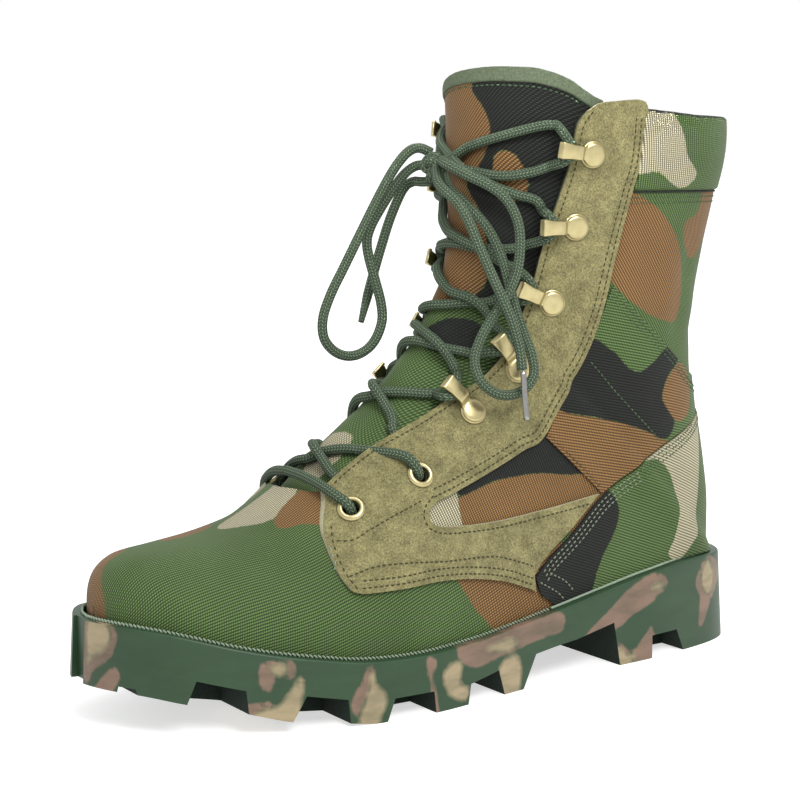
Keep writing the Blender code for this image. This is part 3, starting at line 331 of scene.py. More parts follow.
class Plan:
    """The sole's outline moved inwards by inset, square to its edge."""

    def __init__(self, inset):
        first, last = SOLE_PLAN[0][0], SOLE_PLAN[-1][0]
        turn = np.linspace(0.0, math.pi, PLAN_STEPS)
        xs = (first + last) / 2 - (last - first) / 2 * np.cos(turn)
        edges = np.array([plan_curve(x) for x in xs])
        self.sides = []
        for column, sign in ((0, 1.0), (1, -1.0)):
            line = np.stack([xs, edges[:, column]], 1)
            run = np.gradient(line, axis=0)
            run[0] = (0.0, sign)
            run[-1] = (0.0, -sign)
            run = unit(run)
            inward = np.stack([run[:, 1], -run[:, 0]], 1) * sign
            self.sides.append(line + inset * inward)
        self.low = max(side[0, 0] for side in self.sides)
        self.high = min(side[-1, 0] for side in self.sides)

    def edge(self, x):
        """Outer and inner edge at station x."""
        return [float(np.interp(x, side[:, 0], side[:, 1])) for side in self.sides]

    def stations(self, count, end_share):
        """Stations crowded towards both ends, stopping end_share of the turn short of them."""
        turn = np.linspace(end_share, math.pi - end_share, count)
        return (self.low + self.high) / 2 - (self.high - self.low) / 2 * np.cos(turn)


def section_rows():
    """One table of sections for the whole upper: place, ridge, base, edges and squareness."""
    base = Plan(BASE_INSET)
    rows = []
    for x, y, z, base_x, bulge_out, bulge_in, widest, crown, low in FOOT_SECTIONS:
        out, inn = base.edge(base_x)
        foot = rim(base_x) - BASE_SINK
        rows.append((x, y, z, base_x, foot, out + bulge_out, inn - bulge_in, out, inn, widest, crown, low))
    for x, z, back_x, back_z, half, widest, crown, back in SHAFT_SECTIONS:
        rows.append((x, 0.0, z, back_x, back_z, half, -half, 0.0, 0.0, widest, crown, back))
    rows = np.array(rows)
    ridge_run = np.linalg.norm(np.diff(rows[:, [0, 2]], axis=0), axis=1)
    base_run = np.linalg.norm(np.diff(rows[:, [3, 4]], axis=0), axis=1)
    at = np.concatenate([[0.0], np.cumsum(ridge_run + base_run)])
    return Curve(np.concatenate([T_LAST * at[:, None] / at[-1], rows], 1))


sections = section_rows()
HEEL_AT = float(sections.at[len(FOOT_SECTIONS)])
quarter_turn = np.linspace(0.0, math.pi / 2, DENSE)


def half_arch(t, side):
    """Dense half section from the ridge down to the base or back seam."""
    x, y, z, base_x, base_z, out, inn, base_out, base_in, widest, crown, back = sections(t)
    wide, low = (out, base_out) if side > 0 else (inn, base_in)
    above = y + (wide - y) * np.sin(quarter_turn) ** (2 / crown)
    below = low + (wide - low) * np.cos(quarter_turn) ** (2 / back)
    share_above = widest * (1 - np.cos(quarter_turn) ** (2 / crown))
    share_below = widest + (1 - widest) * np.sin(quarter_turn) ** (2 / back)
    across = np.concatenate([above, below[1:]])
    share = np.concatenate([share_above, share_below[1:]])
    line = np.stack([x + (base_x - x) * share, across, z + (base_z - z) * share], 1)
    return line, running(line)


def girth(t, side):
    """Length of a half section."""
    return half_arch(t, side)[1][-1]


def ring(t, v):
    """Points of section t at signed shares v: -1 inner base, 0 ridge, 1 outer base."""
    points = np.empty((len(v), 3))
    for side in (1, -1):
        pick = v >= 0 if side > 0 else v < 0
        if pick.any():
            line, run = half_arch(t, side)
            along = np.abs(v[pick]) * run[-1]
            points[pick] = np.stack([np.interp(along, run, line[:, k]) for k in range(3)], 1)
    return points


def skin(t, v, lift=0.0):
    """Points on the upper's surface moved out by lift along its normal."""
    v = np.asarray(v, float)
    along = ring(min(t + T_STEP, T_LAST), v) - ring(max(t - T_STEP, 0.0), v)
    across = ring(t, np.minimum(v + V_STEP, 1.0)) - ring(t, np.maximum(v - V_STEP, -1.0))
    normal = np.cross(across, along)
    if t >= HEEL_AT:
        normal[np.abs(v) > 1 - V_STEP / 2, 1] = 0.0
    normal = unit(normal)
    return ring(t, v) + np.reshape(lift, (-1, 1)) * normal


def place(t, arc, lift=0.0):
    """One point at arc millimetres from the ridge."""
    share = arc / girth(t, 1 if arc >= 0 else -1)
    return skin(t, [share], lift)[0]


def frame_at(t, arc, lift, turn):
    """Matrix on the surface: z out, x towards the throat and turned up by turn degrees."""
    at = place(t, arc, lift)
    out = Vector(place(t, arc, lift + 1.0) - at).normalized()
    inwards = Vector(place(t, arc - math.copysign(FRAME_REACH, arc), lift) - at).normalized()
    side = out.cross(inwards).normalized()
    inwards = side.cross(out).normalized()
    spin = Matrix.Rotation(math.radians(turn) * math.copysign(1.0, arc), 3, out)
    x_axis = spin @ inwards
    y_axis = out.cross(x_axis)
    turned = Matrix((x_axis, y_axis, out)).transposed().to_4x4()
    return Matrix.Translation(metres(at)) @ turned


def throat_opening(t, side):
    """Arc of the throat's edge at t, 0 below the throat."""
    if t <= THROAT[0][0]:
        return 0.0
    return float(throat_curve(min(t, COLLAR_AT))[0 if side > 0 else 1])


def lacing_points(side):
    return [row[:3] if side > 0 else (row[3], -row[4], row[5]) for row in LACING]


def unroll(points):
    """Chart of the side panels: x unrolled round the heel and the toe, and z."""
    x, y, z = points.T
    heel_x, heel_y, heel_r = HEEL_TURN
    toe_x, toe_y, toe_r = TOE_TURN
    behind = heel_x - heel_r * np.arctan2(heel_x - x, np.abs(y - heel_y))
    ahead = toe_x + toe_r * np.arctan2(x - toe_x, np.abs(y - toe_y))
    return np.stack([np.where(x < heel_x, behind, np.where(x > toe_x, ahead, x)), z], 1)


def spline(points, step, closed=False):
    """A smooth line through points, read every step or so."""
    points = np.asarray(points, float)
    before, after = 2 * points[:1] - points[1:2], 2 * points[-1:] - points[-2:-1]
    if closed:
        before, after = points[-1:], points[:2]
    full = np.concatenate([before, points, after])
    line = []
    for a, b, c, d in zip(full, full[1:], full[2:], full[3:]):
        count = max(2, round(np.linalg.norm(c - b) / step))
        for s in np.arange(count) / count:
            line.append(0.5 * (2 * b + (c - a) * s + (2 * a - 5 * b + 4 * c - d) * s ** 2
                               + (3 * b - a - 3 * c + d) * s ** 3))
    return np.array(line if closed else line + [points[-1]])


CORNER_TURN = 38.0


def rounded_outline(points, step):
    """A closed outline read smoothly between its corners, which stay sharp."""
    points = np.asarray(points, float)
    before, after = points - np.roll(points, 1, 0), np.roll(points, -1, 0) - points
    turn = np.degrees(np.arctan2(after[:, 1], after[:, 0]) - np.arctan2(before[:, 1], before[:, 0]))
    corners = [k for k, a in enumerate(turn) if abs((a + 180.0) % 360.0 - 180.0) > CORNER_TURN]
    line = []
    for first, last in zip(corners, corners[1:] + [corners[0] + len(points)]):
        run = [points[k % len(points)] for k in range(first, last + 1)]
        line.extend(spline(run, step)[:-1])
    return np.array(line)


# Meshes

CAP_RISE = 0.2
CAP_SHOULDER = 0.15
CAP_SHARE = 0.8
TUBE_START = (0.3, 0.2, 1.0)


def to_mesh(bm, name):
    """A new mesh of a bmesh, which is used up."""
    mesh = bpy.data.meshes.new(name)
    bm.to_mesh(mesh)
    bm.free()
    return mesh


def grid_mesh(name, points, uv=None):
    """A grid of quads laid on rows of points in millimetres, its UV map in millimetres where given."""
    rows, columns = points.shape[:2]
    bm = bmesh.new()
    bmesh.ops.create_grid(bm, x_segments=columns - 1, y_segments=rows - 1, size=1.0)
    mesh = to_mesh(bm, name)
    mesh.vertices.foreach_set("co", metres(points).reshape(-1))
    if uv is not None:
        write_uv(mesh, uv.reshape(-1, 2))
    return mesh


def write_uv(mesh, uv):
    """Gives each corner the thread chart of its vertex, in millimetres."""
    corners = np.empty(len(mesh.loops), np.int32)
    mesh.loops.foreach_get("vertex_index", corners)
    layer = mesh.uv_layers.get("thread_mm") or mesh.uv_layers.new(name="thread_mm")
    layer.uv.foreach_set("vector", uv[corners].astype(np.float32).reshape(-1))


def vertices_of(mesh):
    co = np.empty(len(mesh.vertices) * 3)
    mesh.vertices.foreach_get("co", co)
    return co.reshape(-1, 3)


def welded(name, meshes, closed=False):
    """One mesh of several, welded where they meet; a closed one has open ends filled and faces out."""
    bm = bmesh.new()
    for mesh in meshes:
        bm.from_mesh(mesh)
        bpy.data.meshes.remove(mesh)
    bmesh.ops.remove_doubles(bm, verts=bm.verts, dist=WELD)
    if closed:
        bmesh.ops.holes_fill(bm, edges=bm.edges, sides=0)
        bmesh.ops.recalc_face_normals(bm, faces=bm.faces)
    return to_mesh(bm, name)


def dress(made, *finishes):
    """Gives an object these finishes, in order, and no others."""
    made.data.materials.clear()
    for name in finishes:
        made.data.materials.append(finish(name))


def add_object(name, mesh, *finishes):
    made = bpy.data.objects.new(name, mesh)
    bpy.context.scene.collection.objects.link(made)
    dress(made, *finishes)
    return made


def bake(made):
    """Turns an object's modifiers into its mesh."""
    graph = bpy.context.evaluated_depsgraph_get()
    mesh = bpy.data.meshes.new_from_object(
        made.evaluated_get(graph), preserve_all_data_layers=True, depsgraph=graph
    )
    old = made.data
    made.modifiers.clear()
    made.data = mesh
    bpy.data.meshes.remove(old)
    mesh.name = made.name
    return mesh


def solidify(made, thick, offset, inner=0):
    step = made.modifiers.new("wall", "SOLIDIFY")
    step.thickness = thick * MM
    step.offset = offset
    step.use_even_offset = True
    step.material_offset = inner
    step.material_offset_rim = inner


def cut(made, cutters, operation):
    """Cuts or keeps by closed cutters, which are used up."""
    for cutter in cutters:
        step = made.modifiers.new("cut", "BOOLEAN")
        step.operation = operation
        step.solver = "MANIFOLD"
        step.material_mode = "TRANSFER"
        step.object = cutter
    bake(made)
    for cutter in cutters:
        mesh = cutter.data
        bpy.data.objects.remove(cutter)
        bpy.data.meshes.remove(mesh)


def smooth(made, angle):
    made.data.shade_smooth()
    made.data.set_sharp_from_angle(angle=math.radians(angle))


def prism(outline, near, far, *finishes):
    """A side-view outline drawn out across the boot, as a cutter."""
    bm = bmesh.new()
    verts = [bm.verts.new(metres((x, near, z))) for x, z in outline]
    grown = bmesh.ops.extrude_face_region(bm, geom=[bm.faces.new(verts)])["geom"]
    moved = [item for item in grown if isinstance(item, bmesh.types.BMVert)]
    bmesh.ops.translate(bm, vec=(0.0, (far - near) * MM, 0.0), verts=moved)
    bmesh.ops.recalc_face_normals(bm, faces=bm.faces)
    return add_object("cutter", to_mesh(bm, "cutter"), *finishes)


def loft(name, stations, corners, *finishes):
    """A block drawn through a loop of corners at each station, closed at both ends."""
    loops = [corners(x) for x in stations]
    points = np.array([list(loop) + [loop[0]] for loop in loops])
    return add_object(name, welded(name, [grid_mesh(name, points)], closed=True), *finishes)


def tube_mesh(name, path, radius, sides):
    """A round tube along a path in millimetres, its radius one or one a point; UV is (length, turn)."""
    path = np.asarray(path, float)
    run = unit(np.gradient(path, axis=0))
    across = [np.cross(run[0], TUBE_START)]
    for tangent in run[1:]:
        across.append(across[-1] - tangent * (across[-1] @ tangent))
    across = unit(np.array(across))
    up = np.cross(run, across)
    turn = np.linspace(0.0, 2 * math.pi, sides + 1)
    spokes = across[:, None] * np.cos(turn)[None, :, None] + up[:, None] * np.sin(turn)[None, :, None]
    reach = np.broadcast_to(radius, len(path))
    first, last = reach[0] * run[:1], reach[-1] * run[-1:]
    middle = np.concatenate([path[:1] - CAP_RISE * first, path[:1] - CAP_SHOULDER * first, path,
                             path[-1:] + CAP_SHOULDER * last, path[-1:] + CAP_RISE * last])
    reach = np.concatenate([[0.0, CAP_SHARE * reach[0]], reach, [CAP_SHARE * reach[-1], 0.0]])
    spokes = np.concatenate([spokes[:1], spokes[:1], spokes, spokes[-1:], spokes[-1:]])
    points = middle[:, None] + reach[:, None, None] * spokes
    length = running(path)
    length = np.concatenate([[0.0, 0.0], length, [length[-1], length[-1]]])
    uv = np.stack(np.broadcast_arrays(length[:, None], turn[None] * reach.max()), 2)
    made = welded(name, [grid_mesh(name, points, uv)], closed=True)
    made.shade_smooth()
    return made


# Materials

WHITE = (1.0, 1.0, 1.0, 1.0)
WAVE_BASE = 20.0
PRINT_RAGGED = 0.6
PRINT_BLEND = 0.3
PICK_DEPTH = 0.75
SMEAR_REACH = 3.0
SMEAR_SHRINK = 1.6
STREAK_LONG = (0.3, 0.3, 1.0)
PINK_BLEND = 0.5
SAND_BLEND = 1.1
BRAID_PAIRS = 5


def fill(tree, made, inputs):
    """Sets sockets of a node, each as a value or a link."""
    for key, value in dict(inputs).items():
        if isinstance(value, bpy.types.NodeSocket):
            tree.links.new(value, made.inputs[key])
        else:
            made.inputs[key].default_value = value


def node(tree, kind, inputs=(), out=0, **settings):
    """Adds a shader node and gives one of its outputs: settings are its properties, inputs its sockets."""
    made = tree.nodes.new(f"ShaderNode{kind}")
    for name, value in settings.items():
        setattr(made, name, value)
    fill(tree, made, inputs)
    return made.outputs[out]


def finish(name):
    """The named material, made on first use from the shader sockets that its finish gives."""
    made = bpy.data.materials.get(name)
    if made is None:
        made = bpy.data.materials.new(name)
        made.use_nodes = True
        tree = made.node_tree
        fill(tree, tree.nodes["Principled BSDF"], FINISHES[name](tree))
    return made


def colours():
    return bpy.context.scene.boot_colours


def sizes():
    return bpy.context.scene.boot_sizes


def rgba(colour):
    return (*colour, 1.0)


def wave_scale(pitch):
    """Scale of a wave texture whose bands repeat every pitch, in the units of its coordinates."""
    return 2 * math.pi / WAVE_BASE / pitch


def patched(tree, under, field, wander, blend, colour, strength=None):
    """A patch over the colour under it, its charted edge moved by wander and blended over blend."""
    distance = node(tree, "Attribute", out="Fac", attribute_name=field)
    ragged = node(tree, "Math", {0: distance, 1: wander})
    share = node(tree, "MapRange", {"Value": ragged, "From Min": -blend, "From Max": blend})
    if strength is not None:
        share = node(tree, "Math", {0: share, 1: strength}, operation="MULTIPLY")
    return node(tree, "Mix", {0: share, 6: under, 7: rgba(colour)}, 2, data_type="RGBA")


# The ribs are drawn coarser than real ones, which would be too fine to show
def oxford_nylon(tree):
    """Nylon oxford cloth, woven and printed: soft ribs with dark gaps, four colours with crisp edges; the
    weave's height is painted into the colour as shade in the gaps and highlight on the ribs.
    """
    ink, size = colours(), sizes()
    thread = node(tree, "UVMap", uv_map="thread_mm")
    place_at = node(tree, "TexCoord", out="Object")
    rib = node(tree, "TexWave", {"Vector": thread, "Scale": wave_scale(size.rib_pitch / MM),
                                 "Distortion": 0.5, "Detail": 1.0, "Detail Scale": 0.6}, "Fac")
    pick = node(tree, "TexWave", {"Vector": thread, "Scale": wave_scale(size.pick_pitch / MM)},
                "Fac", bands_direction="Y")
    cloud = node(tree, "TexNoise", {"Vector": place_at, "Scale": 0.03 / MM, "Detail": 3.0}, "Fac")
    rough_edge = node(tree, "TexNoise", {"Vector": place_at, "Scale": 0.5 / MM, "Detail": 1.0}, "Fac")
    edge = node(tree, "Math", {0: rough_edge, 1: 2 * PRINT_RAGGED, 2: -PRINT_RAGGED},
                operation="MULTIPLY_ADD")
    colour = rgba(ink.leaf_green)
    for field, printed in (("brown", ink.earth_brown), ("black", ink.print_black), ("tan", ink.sand_tan)):
        colour = patched(tree, colour, field, edge, PRINT_BLEND, printed)
    cross = node(tree, "Math", {0: pick, 1: PICK_DEPTH, 2: 1 - PICK_DEPTH}, operation="MULTIPLY_ADD")
    weave = node(tree, "Math", {0: rib, 1: cross}, operation="MULTIPLY")
    # Painted shade in the weave's gaps and painted highlight on its ribs
    shade = node(tree, "MapRange", {"Value": weave, "To Min": 0.3, "To Max": 2.5})
    drift = node(tree, "MapRange", {"Value": cloud, "From Min": 0.3, "From Max": 0.7, "To Min": 0.9,
                                    "To Max": 1.1})
    both = node(tree, "Math", {0: shade, 1: drift}, operation="MULTIPLY")
    woven = node(tree, "VectorMath", {0: colour, "Scale": both}, operation="SCALE")
    bump = node(tree, "Bump", {"Height": weave, "Strength": 0.5, "Distance": 0.25 * MM})
    return {"Base Color": woven, "Normal": bump, "Roughness": 0.7, "Specular IOR Level": 0.15,
            "Sheen Weight": 0.05}


def napped_suede(tree):
    """Suede, split leather brushed to a short nap: dull, speckled, with a pale fuzz at grazing light."""
    place_at = node(tree, "TexCoord", out="Object")
    nap = node(tree, "TexNoise", {"Vector": place_at, "Scale": 1.5 / MM, "Detail": 4.0,
                                  "Roughness": 0.7}, "Fac")
    brushed = node(tree, "TexNoise", {"Vector": place_at, "Scale": 0.14 / MM, "Detail": 4.0,
                                      "Roughness": 0.7}, "Fac")
    speck = node(tree, "MapRange", {"Value": nap, "From Min": 0.33, "From Max": 0.67, "To Min": 0.48,
                                    "To Max": 1.52})
    drift = node(tree, "MapRange", {"Value": brushed, "From Min": 0.3, "From Max": 0.7,
                                    "To Min": 0.68, "To Max": 1.32})
    both = node(tree, "Math", {0: speck, 1: drift}, operation="MULTIPLY")
    napped = node(tree, "VectorMath", {0: colours().suede_olive, "Scale": both}, operation="SCALE")
    bump = node(tree, "Bump", {"Height": nap, "Strength": 0.55, "Distance": 0.3 * MM})
    return {"Base Color": napped, "Normal": bump, "Roughness": 0.95, "Specular IOR Level": 0.1,
            "Sheen Weight": 0.08, "Sheen Roughness": 0.5}


def suede_edge(tree):
    """Cut edge of the suede: raw, paler fibres."""
    place_at = node(tree, "TexCoord", out="Object")
    fibre = node(tree, "TexNoise", {"Vector": place_at, "Scale": 1.2 / MM, "Detail": 3.0}, "Fac")
    speck = node(tree, "MapRange", {"Value": fibre, "To Min": 0.6, "To Max": 1.5})
    raw = node(tree, "VectorMath", {0: colours().suede_pale, "Scale": speck}, operation="SCALE")
    return {"Base Color": raw, "Roughness": 1.0}


def moulded_rubber(tree):
    """Moulded rubber, marbled from tan and pink crumb in green: satin, with a fine moulding grain."""
    ink = colours()
    place_at = node(tree, "TexCoord", out="Object")
    swirl = node(tree, "TexNoise", {"Vector": place_at, "Scale": 0.028 / MM, "Detail": 4.0,
                                    "Distortion": 1.2}, "Fac")
    grain = node(tree, "TexNoise", {"Vector": place_at, "Scale": 1.4 / MM, "Detail": 2.0}, "Fac")
    smear = node(tree, "TexNoise", {"Vector": place_at, "Scale": 0.12 / MM, "Detail": 3.0,
                                    "Distortion": 0.6}, "Fac")
    colour = node(tree, "Mix", {0: swirl, 6: rgba(ink.rubber_dark), 7: rgba(ink.rubber_light)}, 2,
                  data_type="RGBA")
    wander = node(tree, "Math", {0: smear, 1: SMEAR_REACH, 2: -SMEAR_SHRINK}, operation="MULTIPLY_ADD")
    long_way = node(tree, "VectorMath", {0: place_at, 1: STREAK_LONG}, operation="MULTIPLY")
    streak = node(tree, "TexNoise", {"Vector": long_way, "Scale": 0.16 / MM, "Detail": 3.0,
                                     "Roughness": 0.6}, "Fac")
    clear = node(tree, "MapRange", {"Value": streak, "From Min": 0.3, "From Max": 0.55, "To Min": 0.7})
    for field, crumb, blend in (("pink", ink.rubber_pink, PINK_BLEND), ("sand", ink.rubber_sand, SAND_BLEND)):
        colour = patched(tree, colour, field, wander, blend, crumb, clear)
    fade = node(tree, "MapRange", {"Value": streak, "From Min": 0.3, "From Max": 0.7, "To Min": 0.88,
                                   "To Max": 1.12})
    mixed = node(tree, "VectorMath", {0: colour, "Scale": fade}, operation="SCALE")
    bump = node(tree, "Bump", {"Height": grain, "Strength": 0.18, "Distance": 0.12 * MM})
    return {"Base Color": mixed, "Normal": bump, "Roughness": 0.45, "Specular IOR Level": 0.35}


def braided_lace(tree):
    """Braided polyester cord: a fine herringbone of yarns, its relief painted into the colour as shade in the
    gaps and pale highlight on the yarns' crests.
    """
    ink = colours()
    strip = math.pi * LACE_DRAWN / BRAID_PAIRS
    yarn_turn = 2 * math.pi * MM / sizes().braid_pitch
    chart = node(tree, "UVMap", uv_map="thread_mm")
    along, round_cord, _ = node(tree, "SeparateXYZ", {0: chart}).node.outputs
    fold = node(tree, "Math", {0: round_cord, 1: strip}, operation="PINGPONG")
    slant = node(tree, "Math", {0: along, 1: fold})
    turn = node(tree, "Math", {0: slant, 1: yarn_turn}, operation="MULTIPLY")
    wave = node(tree, "Math", {0: turn}, operation="SINE")
    ridge = node(tree, "MapRange", {"Value": wave, "From Min": -1.0})
    across = node(tree, "Math", {0: fold, 1: math.pi / strip}, operation="MULTIPLY")
    crown = node(tree, "Math", {0: across}, operation="SINE")
    height = node(tree, "Math", {0: ridge, 1: crown}, operation="MULTIPLY")
    # Painted light from the yarns' height: shade in the gaps, pale highlight on the crests
    pale = node(tree, "MapRange", {"Value": height, "From Min": 0.5, "From Max": 1.1})
    yarn = node(tree, "Mix", {0: height, 6: rgba(ink.lace_dark), 7: rgba(ink.lace_green)}, 2,
                data_type="RGBA")
    mixed = node(tree, "Mix", {0: pale, 6: yarn, 7: rgba(ink.lace_crest_highlight)}, 2, data_type="RGBA")
    bump = node(tree, "Bump", {"Height": height, "Strength": 0.7, "Distance": 0.35 * MM})
    return {"Base Color": mixed, "Normal": bump, "Roughness": 0.75, "Specular IOR Level": 0.2}


def champagne_brass(tree):
    """Lacquered champagne brass, stamped and tumbled: warm, bright, a little soft in its reflections."""
    ink = colours()
    place_at = node(tree, "TexCoord", out="Object")
    tarnish = node(tree, "TexNoise", {"Vector": place_at, "Scale": 0.3 / MM, "Detail": 4.0}, "Fac")
    mixed = node(tree, "Mix", {0: tarnish, 6: rgba(ink.brass_dark), 7: rgba(ink.brass_light)}, 2,
                 data_type="RGBA")
    gloss = node(tree, "MapRange", {"Value": tarnish, "To Min": 0.24, "To Max": 0.4})
    return {"Base Color": mixed, "Roughness": gloss, "Metallic": 1.0}


def crimped_steel(tree):
    """Crimped steel lace tip: bright, with faint marks of the die."""
    place_at = node(tree, "TexCoord", out="Object")
    marks = node(tree, "TexNoise", {"Vector": place_at, "Scale": 0.6 / MM, "Detail": 2.0}, "Fac")
    gloss = node(tree, "MapRange", {"Value": marks, "To Min": 0.2, "To Max": 0.36})
    return {"Base Color": rgba(colours().tip_steel), "Roughness": gloss, "Metallic": 1.0}


def floor_paper(tree):
    """Paper of the floor: matt, glowing a little so that it stays white."""
    return {"Base Color": rgba(colours().floor_white), "Roughness": 0.6, "Emission Color": WHITE,
            "Emission Strength": FLOOR_GLOW}


def plain_cloth(colour, pitch, depth):
    """A finish of one colour with a fine grain in object space: cloth, tape, thread, or the rubber between
    the lugs darkened as painted shade.
    """

    def cloth(tree):
        place_at = node(tree, "TexCoord", out="Object")
        grain = node(tree, "TexNoise", {"Vector": place_at, "Scale": 1.0 / (pitch * MM),
                                        "Detail": 3.0}, "Fac")
        shade = node(tree, "MapRange", {"Value": grain, "From Min": 0.3, "From Max": 0.7,
                                        "To Min": 1.0 - depth, "To Max": 1.0 + depth})
        mixed = node(tree, "VectorMath", {0: getattr(colours(), colour), "Scale": shade}, operation="SCALE")
        bump = node(tree, "Bump", {"Height": grain, "Strength": 0.3, "Distance": 0.2 * MM})
        return {"Base Color": mixed, "Normal": bump, "Roughness": 0.85, "Specular IOR Level": 0.2}

    return cloth


# Sewing threads are twisted and dull; the rubber between the lugs is matt from the mould, and its darker
# colour is painted shade in the tread's recesses
FINISHES = {
    "oxford_nylon": oxford_nylon,
    "napped_suede": napped_suede,
    "suede_edge": suede_edge,
    "moulded_rubber": moulded_rubber,
    "shaded_tread_rubber": plain_cloth("rubber_tread_shade", 1.2, 0.2),
    "braided_lace": braided_lace,
    "champagne_brass": champagne_brass,
    "crimped_steel": crimped_steel,
    "floor_paper": floor_paper,
    "woven_tape": plain_cloth("tape_green", 0.9, 0.25),
    "brushed_lining": plain_cloth("lining_dark", 1.4, 0.4),
    "olive_thread": plain_cloth("thread_olive", 0.5, 0.3),
    "white_thread": plain_cloth("thread_white", 0.5, 0.3),
    "green_thread": plain_cloth("thread_green", 0.5, 0.3),
    "brown_thread": plain_cloth("thread_brown", 0.5, 0.3),
    "pale_cord": plain_cloth("cord_pale", 0.5, 0.3),
}


# Print and rubber patches, drawn as outlines on charts: outer or inner (u, z), top (x, y), front (y, z)
UPPER_PRINT = (
    ("brown", "outer", ((-60, 176), (-66, 199), (-82, 196), (-96, 188), (-109, 174), (-116, 158),
        (-114, 143), (-104, 142), (-88, 148), (-72, 160))),
    ("brown", "outer", ((-124, 200), (-123, 190), (-119, 186), (-112, 184), (-112, 178), (-117, 171),
        (-126, 168), (-140, 180), (-142, 200))),
    ("brown", "outer", ((9, 90), (9, 62), (-30, 58), (-68, 64), (-70, 96), (-30, 104))),
    ("black", "outer", ((12, 79), (0, 80), (-12, 83), (-24, 84), (-36, 84), (-58, 82), (-78, 92),
        (-40, 112), (12, 96))),
    ("tan", "outer", ((26, 90), (8, 86), (7, 76), (9, 62), (26, 60))),
    ("brown", "outer", ((14, 54), (12, 46), (9, 41), (4, 34), (-4, 26), (-9, 18), (-46, 22), (-46, 54))),
    ("brown", "top", ((126, -14), (131, -8), (137, -7), (141, -4), (143, 0), (144, 7), (150, 7),
        (150, -22), (138, -26), (126, -22))),
    ("brown", "top", ((112, -10), (100, -9), (90, -12), (92, -20), (108, -20))),
    ("tan", "top", ((91, -5), (84, 4), (74, 11), (66, 9), (58, 4), (58, -6), (72, -12), (84, -11))),
    ("brown", "top", ((74, 11), (76, 16), (72, 21), (62, 30), (50, 32), (50, 12), (66, 8))),
)
BAND_PRINT = (
    ("brown", "outer", ((-48, 114), (-68, 104), (-78, 101), (-92, 96), (-104, 90), (-100, 80), (-64, 62),
        (-28, 96))),
    ("black", "outer", ((-44, 112), (-60, 136), (-72, 132), (-81, 124), (-87, 122), (-94, 125),
        (-103, 131), (-114, 129), (-112, 124), (-105, 120), (-101, 114), (-101, 108), (-109, 100),
        (-102, 92), (-92, 96), (-78, 101), (-66, 104))),
    ("brown", "outer", ((-115, 124), (-107, 121), (-102, 116), (-100, 110), (-103, 105), (-110, 99),
        (-122, 101), (-127, 112), (-121, 121))),
)
COUNTER_PRINT = (
    ("tan", "outer", ((-82, 83), (-96, 84), (-103, 79), (-107, 72), (-110, 62), (-108, 48), (-104, 42),
        (-112, 38), (-122, 46), (-129, 60), (-132, 76), (-136, 92), (-140, 108), (-122, 106), (-98, 95),
        (-80, 84))),
    ("black", "outer", ((-22, 48), (-24, 26), (-58, 24), (-60, 34), (-64, 45), (-70, 53), (-74, 60),
        (-74, 68), (-64, 76), (-44, 64))),
)
CUFF_PRINT = (
    ("tan", "outer", ((-74, 236), (-90, 232), (-98, 228), (-103, 220), (-106, 211), (-113, 204),
        (-110, 200), (-104, 198), (-95, 202), (-90, 205), (-74, 207))),
    ("brown", "inner", ((-96, 236), (-92, 220), (-100, 212), (-112, 216), (-116, 226), (-112, 236))),
)
TONGUE_PRINT = (
    ("black", "front", ((-2, 252), (66, 252), (66, 146), (34, 146), (20, 152), (11, 155), (6, 200),
        (8, 230))),
    ("brown", "front", ((-34, 250), (6, 247), (8, 239), (13, 233), (16, 226), (16, 218), (11, 207),
        (5, 202), (12, 190), (15, 172), (13, 157), (0, 150), (-26, 152), (-40, 200))),
    ("brown", "front", ((18, 213), (23, 214), (26, 207), (26, 198), (22, 193), (17, 198))),
    ("black", "front", ((2, 142), (9, 147), (16, 145), (18, 137), (13, 133), (5, 136))),
    ("tan", "front", ((-8, 100), (1, 103), (7, 101), (9, 94), (6, 86), (-4, 86))),
)
